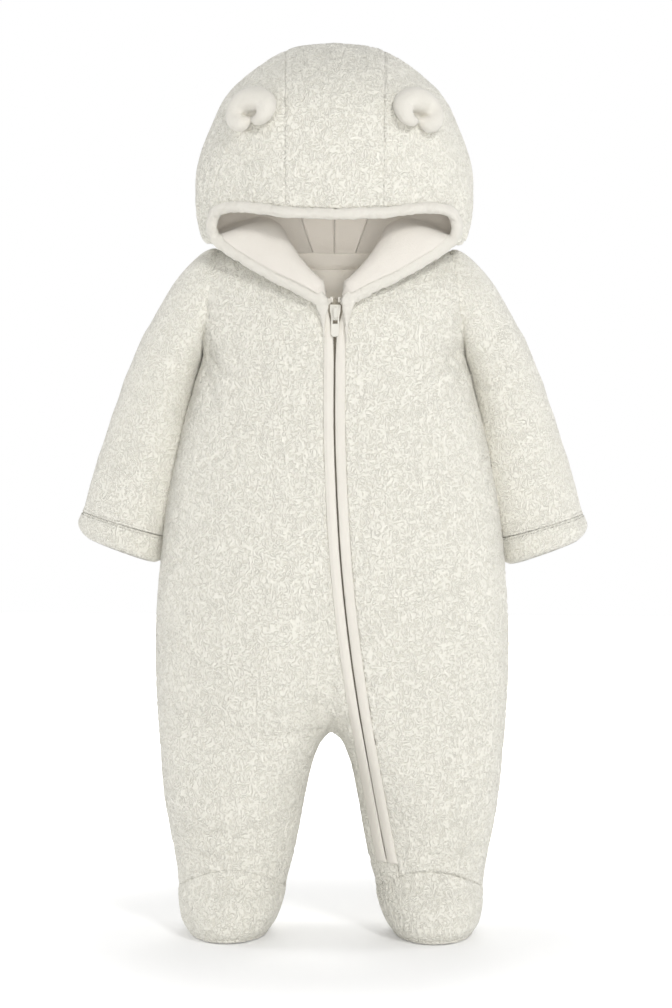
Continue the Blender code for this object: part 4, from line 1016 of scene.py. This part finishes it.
# the linings lie inside the hood and turn out with it over the lapels
lining = {"wall": 0.9, "points": 60, "hemRoom": 4.0, "inset": 3.8, "tailRows": 8, "tailStart": 0.12,
          "tailNarrows": 0.8, "tailEnd": (1.6, 2.2, -11.0), "seamGap": 0.25, "middleGap": 0.2}
inner = hoodWhole(lining["points"], lining["hemRoom"], lining["inset"])
fold = inner[2, np.argmax(inner[2, :, 2])]
end = np.linspace(1, lining["tailStart"], lining["tailRows"])[:, None, None]
tail = fold + (inner[2] - fold) * (1 - lining["tailNarrows"] * end) + end * lining["tailEnd"]
liningSide = np.concatenate([tail, inner[2:seamRow + 1:2]])
liningSide[-1, :, 0] -= lining["seamGap"]
liningMiddle = hoodCentre(inner, hood["liningRows"])
liningMiddle[0, :, 0] += lining["seamGap"]
liningMiddle[-1, :, 0] = -lining["middleGap"]
for side, sign in sides:
    # the middle pieces deep in the hood take the lining's copy with painted light
    for part, grid, look in (("lining_side", liningSide, liningLook), ("lining", liningMiddle, liningPaintedLight)):
        sewn(f"hood_{part}_{side}", [mirrored(grid, -sign)], look, "lining", flip=side == "right",
             wall=lining["wall"], roll=0)

hem = {
    "ends": [(9.4, -60.9, 470.0), (9.5, -60.5, 478.0), (9.8, -60.0, 485.0), (10.1, -59.6, 490.0),
             (10.6, -60.0, 495.0), (11.1, -60.9, 499.0)],
    "endShift": {-1: -1.6, 1: 0.4}, "endHalf": [0.8, 1.4, 2.2, 3.0, 4.0, 5.0],
    "endHigh": [0.5, 0.9, 1.4, 1.9, 2.5, 3.2],
    "around": 30, "rings": 230, "square": 0.85, "nap": (1.3, 2.0),
    "swell": 0.035, "swellPace": 0.33, "fineSwell": 0.03, "finePace": 0.87,
    # angle round the neck, half its width, half its height, shift towards the hood
    "cut": np.array([(12, 5.6, 3.5, 0.6), (28, 6.3, 3.7, 1.2), (68, 6.6, 3.9, 1.6), (98, 5.9, 4.1, 0.9),
                     (122, 4.6, 4.0, 0.4), (180, 4.3, 3.9, 0.3)])}


def hemRings(sign):
    # rings round one half of the opening's edge, from the zip to the middle of the brow
    net = hoodNet()
    dense = through(net, 16 * (len(net) - 1) + 1)
    edge = dense[:, -1]
    inward = dense[:, -2] - edge
    angles = np.interp(np.linspace(0, len(net) - 1, len(edge)), np.arange(len(net)), hoodAngles)
    cut = np.stack([eased(hem["cut"], k, angles) for k in (1, 2, 3)], axis=1)
    ends = np.array(hem["ends"]) + (hem["endShift"][sign], 0, 0)
    tapered = np.stack([hem["endHalf"], hem["endHigh"], np.linspace(0, 0.5, len(ends))], axis=1)
    edge = np.concatenate([ends, edge])
    inward = np.concatenate([np.tile(inward[0], (len(ends), 1)), inward])
    cut = np.concatenate([tapered, cut])
    run = runOf(edge)
    at = np.linspace(0, run[-1], hem["rings"])
    edge, inward, cut = (sampled(at, run, values) for values in (edge, inward, cut))
    for _ in range(6):
        for line in (edge, inward):
            line[1:-1] = (line[:-2] + 2 * line[1:-1] + line[2:]) / 4
    tangent = unit(np.gradient(edge, axis=0))
    inward = unit(inward - tangent * (inward * tangent).sum(axis=1, keepdims=True))
    out = np.cross(tangent, inward)
    along = np.arange(len(edge))
    swell = 1 + hem["swell"] * np.sin(along * hem["swellPace"]) \
        + hem["fineSwell"] * np.sin(along * hem["finePace"] + 1 + sign)
    wide, high, shift = (cut[:, k, None, None] for k in range(3))
    cos, sin = (f(turns(hem["around"]))[None, :, None] for f in (np.cos, np.sin))
    square = np.sign(cos) * np.abs(cos) ** hem["square"]
    rings = edge[:, None] + inward[:, None] * (wide * square * swell[:, None, None] + shift) \
        + out[:, None] * high * sin
    return mirrored(rings, sign)


right, left = hemRings(-1), hemRings(1)
right[-1, :, 0] = left[-1, :, 0] = 0
sewn("hood_hem", [capped(np.concatenate([right, left[-2::-1]]))], plush, "fleece", hem["nap"],
     closed=True, wall=0, nap=0.5, roll=0)
print("lining and hem sewn")

neck = {"angles": (112, 180, 34), "hoodPoints": 100, "hemRoom": 7.3, "hoodInset": 6.1, "bodyInset": 5.5,
        "yokeInset": 3.5, "yokeRows": 28, "yokeLow": 447.0, "yokeCurve": 8.0, "yokeSpread": 0.16,
        "under": 1.0, "tapeRows": 12, "tapeWall": 0.7, "tapeRoll": -0.3, "yokeWall": 0.9}


def neckPieces():
    # half of the tape over the neck seam, and half of the lining below it
    above, inside = [], []
    within = hoodWhole(neck["hoodPoints"], neck["hemRoom"], neck["hoodInset"])
    drop = np.linspace(0, 1, neck["yokeRows"])
    for angle in np.linspace(*neck["angles"]):
        at = np.interp(angle, hoodAngles, np.arange(len(hoodAngles))) * hood["steps"]
        first = min(int(at), len(within) - 2)
        above.append(within[first, 0] * (1 - at + first) + within[first + 1, 0] * (at - first))
        x, height = neckPoint(angle, "back")
        top = height - neck["under"]
        low = neck["yokeLow"] - neck["yokeCurve"] * math.sin(math.radians(angle - 90)) ** 2
        inside.append(onBody(-x * (1 + neck["yokeSpread"] * drop), top + (low - top) * drop, "back"))
    inside = np.array(inside)
    below = movedOut(inside, -neck["bodyInset"])[:, 1]
    tape = np.stack([np.array(above) * (1 - t) + below * t for t in np.linspace(0, 1, neck["tapeRows"])],
                    axis=1)
    yoke = movedOut(inside, -neck["yokeInset"])
    tape[-1, :, 0] = yoke[-1, :, 0] = 0
    return tape, yoke


tape, yoke = neckPieces()
# the tape and lining at the back of the neck take the lining's copy with painted light, against the shade in
# the hollow
sewn("neck_tape", bothHalves(tape), liningPaintedLight, "tape", wall=neck["tapeWall"], roll=neck["tapeRoll"],
     edges=("left", "right"))
sewn("back_neck_lining", bothHalves(yoke), liningPaintedLight, "lining", wall=neck["yokeWall"], roll=0)

ear = {
    "shift": (-4.0, -2.0, -4.5), "grain": 0.8, "rounds": 6, "nap": (0.4, 1.6), "napShare": 0.5,
    "turn": 0.55, "forward": 0.6, "steps": 110, "around": 28, "backHalf": (13, 8, 3.0), "backUp": 1.5,
    "backIn": 2.0, "backRings": 15, "backAround": 40,
    # across, up and out from the middle, then the roll's radius: from the pinch round over the top
    "roll": [(1.8, -6.3, 1.0, 2.0), (5.4, -8.4, 3.0, 3.6), (9.6, -8.6, 4.4, 4.8), (13.2, -4.6, 4.6, 6.4),
             (13.2, 2.6, 4.4, 8.0), (7.8, 7.0, 5.0, 9.2), (-0.5, 8.2, 5.6, 9.6), (-8.4, 6.4, 5.2, 9.2),
             (-13.6, 0.8, 4.4, 8.6), (-13.2, -6.4, 4.8, 8.2), (-8.0, -10.4, 4.8, 7.2),
             (-3.6, -8.8, 3.0, 4.6), (-1.6, -6.2, 1.0, 2.4)]}


def seatOf(node, grid, sign):
    # the middle of an ear's box, with the hood's own directions there
    low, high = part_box(node)
    middle = (np.array(low) + np.array(high)) / 2 / mm + (0, 0, originHeight)
    normal = mirrored(-normalsOf(grid), -sign)
    nearest = np.argmin(((mirrored(grid, -sign) - middle) ** 2).sum(axis=2))
    out = Vector(normal.reshape(-1, 3)[nearest]).normalized()
    across = Vector((0, 0, 1)).cross(out).normalized()
    return middle, np.array(across), np.array(out.cross(across)), np.array(out)


def melted(obj):
    # fuses the crossing parts of a mesh into one skin and gives it a nap of its own
    skin = obj.modifiers.new("skin", "REMESH")
    skin.mode = "VOXEL"
    skin.voxel_size = ear["grain"] * mm
    ease = obj.modifiers.new("ease", "SMOOTH")
    ease.factor, ease.iterations = 0.5, ear["rounds"]
    fused = obj.evaluated_get(bpy.context.evaluated_depsgraph_get())
    data = bpy.data.meshes.new_from_object(fused)
    obj.modifiers.clear()
    obj.data = data
    data.shade_smooth()
    nap = data.attributes.new("nap", "FLOAT", "POINT")
    nap.data.foreach_set("value", np.full(len(data.vertices), ear["napShare"], np.float32))
    return obj


for side, sign in sides:
    middle, across, up, out = seatOf(f"ear_{side}", hoodSide, sign)
    outward = across * (1 if across[0] > 0 else -1)
    # the ear stands up from the hood, so it faces further forward than the hood does there
    face = unit(out * ear["turn"] + np.array((0, -ear["forward"], 0)))
    upright = unit(up - face * up.dot(face))
    shift = ear["shift"]
    middle = middle + outward * sign * shift[0] + upright * shift[1] + out * shift[2]
    path = through(np.array(ear["roll"]) * (-sign, 1, 1, 1), ear["steps"])
    spots = middle + path[:, :1] * outward + path[:, 1:2] * upright + path[:, 2:3] * face
    roll = capped(tubeGrid(spots, path[:, 3], ear["around"]))
    wide, high, thick = ear["backHalf"]
    mound = []
    turn = turns(ear["backAround"])[:, None]
    for share in np.linspace(0.02, 0.98, ear["backRings"]):
        r = math.sin(share * math.pi)
        mound.append(middle - out * ear["backIn"] + outward * (wide * r * np.cos(turn))
                     + upright * (high * r * np.sin(turn) + ear["backUp"])
                     + face * (thick * math.cos(share * math.pi)))
    horn = melted(clothPiece(f"ear_{side}_cloth", [roll, np.array(mound)], closed=True, wall=0, roll=0))
    addNap(horn, *ear["nap"])
    finish(horn, plush, f"ear_{side}")
print("ears rolled")


def ribbon(offsets, outs, heights):
    return np.stack([onBody(zipX(heights) + o, heights, "front", out)
                     for o, out in zip(offsets, outs)], axis=1)


strip = {"top": 504.0, "bottom": 60.5, "rows": 290, "columns": 13, "wall": 1.1, "roll": 0.35,
         "ripple": 0.16, "ripplePace": 0.19, "fineRipple": 0.12, "finePace": 0.47}
rows = np.linspace(strip["top"], strip["bottom"], strip["rows"])
shares = np.linspace(0, 1, strip["columns"])
bulge = np.sin(shares * math.pi)
arch = facing["arch"] * bulge ** 0.6 + facing["lift"] + facing["outerLift"] * shares
arch -= facing["groove"] * np.exp(-((shares - facing["stitch"]) / facing["grooveWidth"]) ** 2)
for side, sign in sides:
    ripple = strip["ripple"] * np.sin(rows * strip["ripplePace"] + sign)
    ripple += strip["fineRipple"] * np.sin(rows * strip["finePace"])
    outs = [a + ripple * b for a, b in zip(arch, bulge)]
    offsets = [sign * stripEdge(rows, s) for s in shares]
    sewn(f"zip_facing_{side}", [ribbon(offsets, outs, rows)], facingLook, "facing", flip=sign < 0,
         wall=strip["wall"], roll=strip["roll"], edges=("left", "right"))

webbing = {"top": 505.0, "bottom": 61.5, "rows": 300, "half": 6.6, "columns": 9, "deep": 5.3, "wall": 0.8}
rows = np.linspace(webbing["top"], webbing["bottom"], webbing["rows"])
offsets = np.linspace(-webbing["half"], webbing["half"], webbing["columns"])
# the tape's dark colour is painted shade for the gap under the facings
sewn("zip_tape", [movedOut(ribbon(offsets, [0] * len(offsets), rows), -webbing["deep"])], tapePaintedShade, "tape",
     wall=webbing["wall"], roll=0)


def joined(name, meshes):
    # one mesh from many small ones of the same shape: a list of (points, faces)
    points, faces, count = [], [], 0
    for verts, polys in meshes:
        points.append(verts)
        faces += [tuple(i + count for i in poly) for poly in polys]
        count += len(verts)
    data = bpy.data.meshes.new(name)
    data.from_pydata(place(np.concatenate(points)).tolist(), [], faces)
    data.shade_smooth()
    return linked(name, data)


# a bead's rings, as shares of its length and of its radius
beadProfile = ((0.03, 0.55), (0.16, 1.0), (0.84, 1.0), (0.97, 0.55))


def bead(a, b, radius, up, flat, around):
    # a small rounded bar between two points
    length = np.linalg.norm(b - a)
    along = unit(b - a)
    side = unit(np.cross(along, up))
    top = np.cross(side, along)
    turn = turns(around)[:, None]
    ring = radius * (np.cos(turn) * side + flat * np.sin(turn) * top)
    verts = [a - along * 0.02]
    for t, r in beadProfile:
        verts += list(a + along * length * t + ring * r)
    verts.append(b + along * 0.02)
    faces = [(0, 1 + (k + 1) % around, 1 + k) for k in range(around)]
    for level in range(len(beadProfile) - 1):
        low = 1 + level * around
        faces += [(low + k, low + (k + 1) % around, low + around + (k + 1) % around, low + around + k)
                  for k in range(around)]
    last = 1 + (len(beadProfile) - 1) * around
    faces += [(last + k, last + (k + 1) % around, len(verts) - 1) for k in range(around)]
    return np.array(verts), faces


coil = {"top": 482.0, "bottom": 62.5, "teeth": 384, "deep": 3.4, "radius": 0.46, "flat": 1.3,
        "around": 6, "short": 0.5, "long": 1.9}
rows = np.linspace(coil["top"], coil["bottom"], coil["teeth"])
line = movedOut(ribbon((-4, 0, 4), [0] * 3, rows), -coil["deep"])
sideways = unit(line[:, 2] - line[:, 0])
teeth = []
for k, (p, s) in enumerate(zip(line[:, 1], sideways)):
    way = s if k % 2 else -s  # the teeth close from both sides in turn
    ends = p - way * coil["short"], p + way * coil["long"]
    teeth.append(bead(*ends, coil["radius"], (0, -1, 0), coil["flat"], coil["around"]))
# the teeth's dark colour is painted shade for the slot they lie in
finish(joined("zip_coil_teeth", teeth), coilPaintedShade, "zip_coil")

patch = {"top": 63.5, "half": 7.2, "overFoot": 1.0, "rows": 24, "columns": 20, "roll": 0.15}
down = np.linspace(0, 1, patch["rows"])[:, None]
across = np.linspace(-patch["half"], patch["half"], patch["columns"])[None]
low = footSeam(float(zipX(seamSide + seamRise)) + across) + patch["overFoot"]
heights = patch["top"] * (1 - down) + low * down
sewnFleece("zip_end_patch", [onBody(zipX(heights) + across, heights, "front")], edges=allEdges,
           roll=patch["roll"])

thread = {"top": 500.0, "bottom": 63.0, "points": 400, "length": 2.4, "gap": 1.0, "radius": 0.24, "flat": 0.7,
          "around": 5, "out": 0.15}


def stitches(name, line):
    run = runOf(line)
    found = []
    for start in np.arange(thread["gap"], run[-1] - thread["length"], thread["length"] + thread["gap"]):
        a, b = sampled(np.array([start, start + thread["length"]]), run, line)
        found.append(bead(a, b, thread["radius"], (0, -1, 0), thread["flat"], thread["around"]))
    finish(joined(name, found), threadLook)


rows = np.linspace(thread["top"], thread["bottom"], thread["points"])
for side, sign in sides:
    stitches(f"facing_stitch_{side}",
             onBody(zipX(rows) + sign * stripEdge(rows, facing["stitch"]), rows, "front", thread["out"]))
print("zip set in")

rounds = {"zip_slider": (0.55, resin), "zip_pull": (0.35, resin),
          "zip_stop_right": (0.9, facingLook), "zip_stop_left": (0.9, facingLook)}
for name, (radius, look) in rounds.items():
    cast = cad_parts[name].copy()
    cast.data = cast.data.copy()
    cast.name = name + "_cast"
    bpy.context.scene.collection.objects.link(cast)
    cast.data.materials.clear()
    soft = cast.modifiers.new("edges", "BEVEL")
    soft.width, soft.segments, soft.limit_method = radius * mm, 4, "ANGLE"
    soft.use_clamp_overlap = True
    cast.data.shade_smooth()
    finish(cast, look, name, body="zip_pull" if name == "zip_pull" else "garment")

# floor, light and camera
stage = {
    "floor": (0.9, 0.9, 0.9, 1), "floorSize": 6.4, "floorRoughness": 0.9,
    "glow": 0.14, "glowFrom": 0.15, "glowTo": 0.55, "sky": 0.40,
    # place, size and power, and what it is aimed at
    "lamps": {
        "front": ((0.1, -2.9, -0.3), 0.6, 29.5), "right": ((2.0, 0.55, 0.3), 1.0, 11.0),
        "left": ((-2.1, 0.55, 0.3), 1.4, 18.5),
        "neck": ((0.0, -0.005, -0.2), 0.03, 0.080, (0, 0.07, 0.03)),
        "hood": ((0.0, -0.005, 0.1), 0.03, 0.022, (0, 0.06, 0)),
        "key": ((0.75, -1.8, 1.15), 0.5, 17.0), "behind": ((0.0, 2.3, 2.2), 3.2, 20.0, (0, 2.6, -0.5)),
        "back": ((0.3, 2.6, 1.2), 1.8, 18.0)}}
bpy.context.scene.view_settings.view_transform = "Standard"
bpy.ops.mesh.primitive_plane_add(size=stage["floorSize"], location=(0, 0, -originHeight * mm))
floor = bpy.context.object
floor.name = "floor"
paper = bpy.data.materials.new("palePaper")
paper.use_nodes = True
tree = paper.node_tree
shader = tree.nodes["Principled BSDF"].inputs
shader["Base Color"].default_value = stage["floor"]
shader["Roughness"].default_value = stage["floorRoughness"]
shader["Emission Color"].default_value = (1, 1, 1, 1)
# the floor glows for the camera alone, a painted light: faint by the feet where their shadows fall, full
# white further out
seen = add(tree, "ShaderNodeLightPath").outputs["Is Camera Ray"]
spot = add(tree, "ShaderNodeTexCoord").outputs["Object"]
reach = vectors(tree, "LENGTH", {0: spot}).outputs["Value"]
glow = ranged(tree, reach, stage["glowFrom"], stage["glowTo"], stage["glow"], 1.0)
tree.links.new(sums(tree, "MULTIPLY", seen, glow), shader["Emission Strength"])
floor.data.materials.append(paper)
world = bpy.data.worlds.new("studio")
world.use_nodes = True
tree = world.node_tree
sky = tree.nodes["Background"].inputs
sky["Color"].default_value = (1, 1, 1, 1)
seen = add(tree, "ShaderNodeLightPath").outputs["Is Camera Ray"]
tree.links.new(ranged(tree, seen, 0.0, 1.0, stage["sky"], 1.0), sky["Strength"])
bpy.context.scene.world = world


def softLight(name, at, size, power, aim=(0, 0, -0.2)):
    lamp = bpy.data.lights.new(name, "AREA")
    lamp.shape = "DISK"
    lamp.size, lamp.energy = size, power
    obj = linked(name, lamp)
    obj.location = at
    obj.rotation_euler = (Vector(aim) - Vector(at)).to_track_quat("-Z", "Y").to_euler()


for name, settings in stage["lamps"].items():
    softLight(name, *settings)
for name in ("neck", "hood"):
    bpy.data.objects[name].visible_camera = False  # they only lift the shade in the hollow

view = {"distance": 2.02, "elevation": 2.0, "aim": (0.0025, 0.0, -0.203), "lens": 22.5, "roll": 0.3}
lens = bpy.data.cameras.new("camera")
lens.sensor_fit = "VERTICAL"
lens.angle = math.radians(view["lens"])
lens.clip_start, lens.clip_end = 0.05, 50
camera = linked("camera", lens)
up = math.radians(view["elevation"])
aim = Vector(view["aim"])
camera.location = aim + Vector((0, -math.cos(up), math.sin(up))) * view["distance"]
turned = (aim - camera.location).to_track_quat("-Z", "Y").to_matrix()
camera.rotation_euler = (turned @ Matrix.Rotation(math.radians(view["roll"]), 3, "Z")).to_euler()
bpy.context.scene.camera = camera

print("set up")
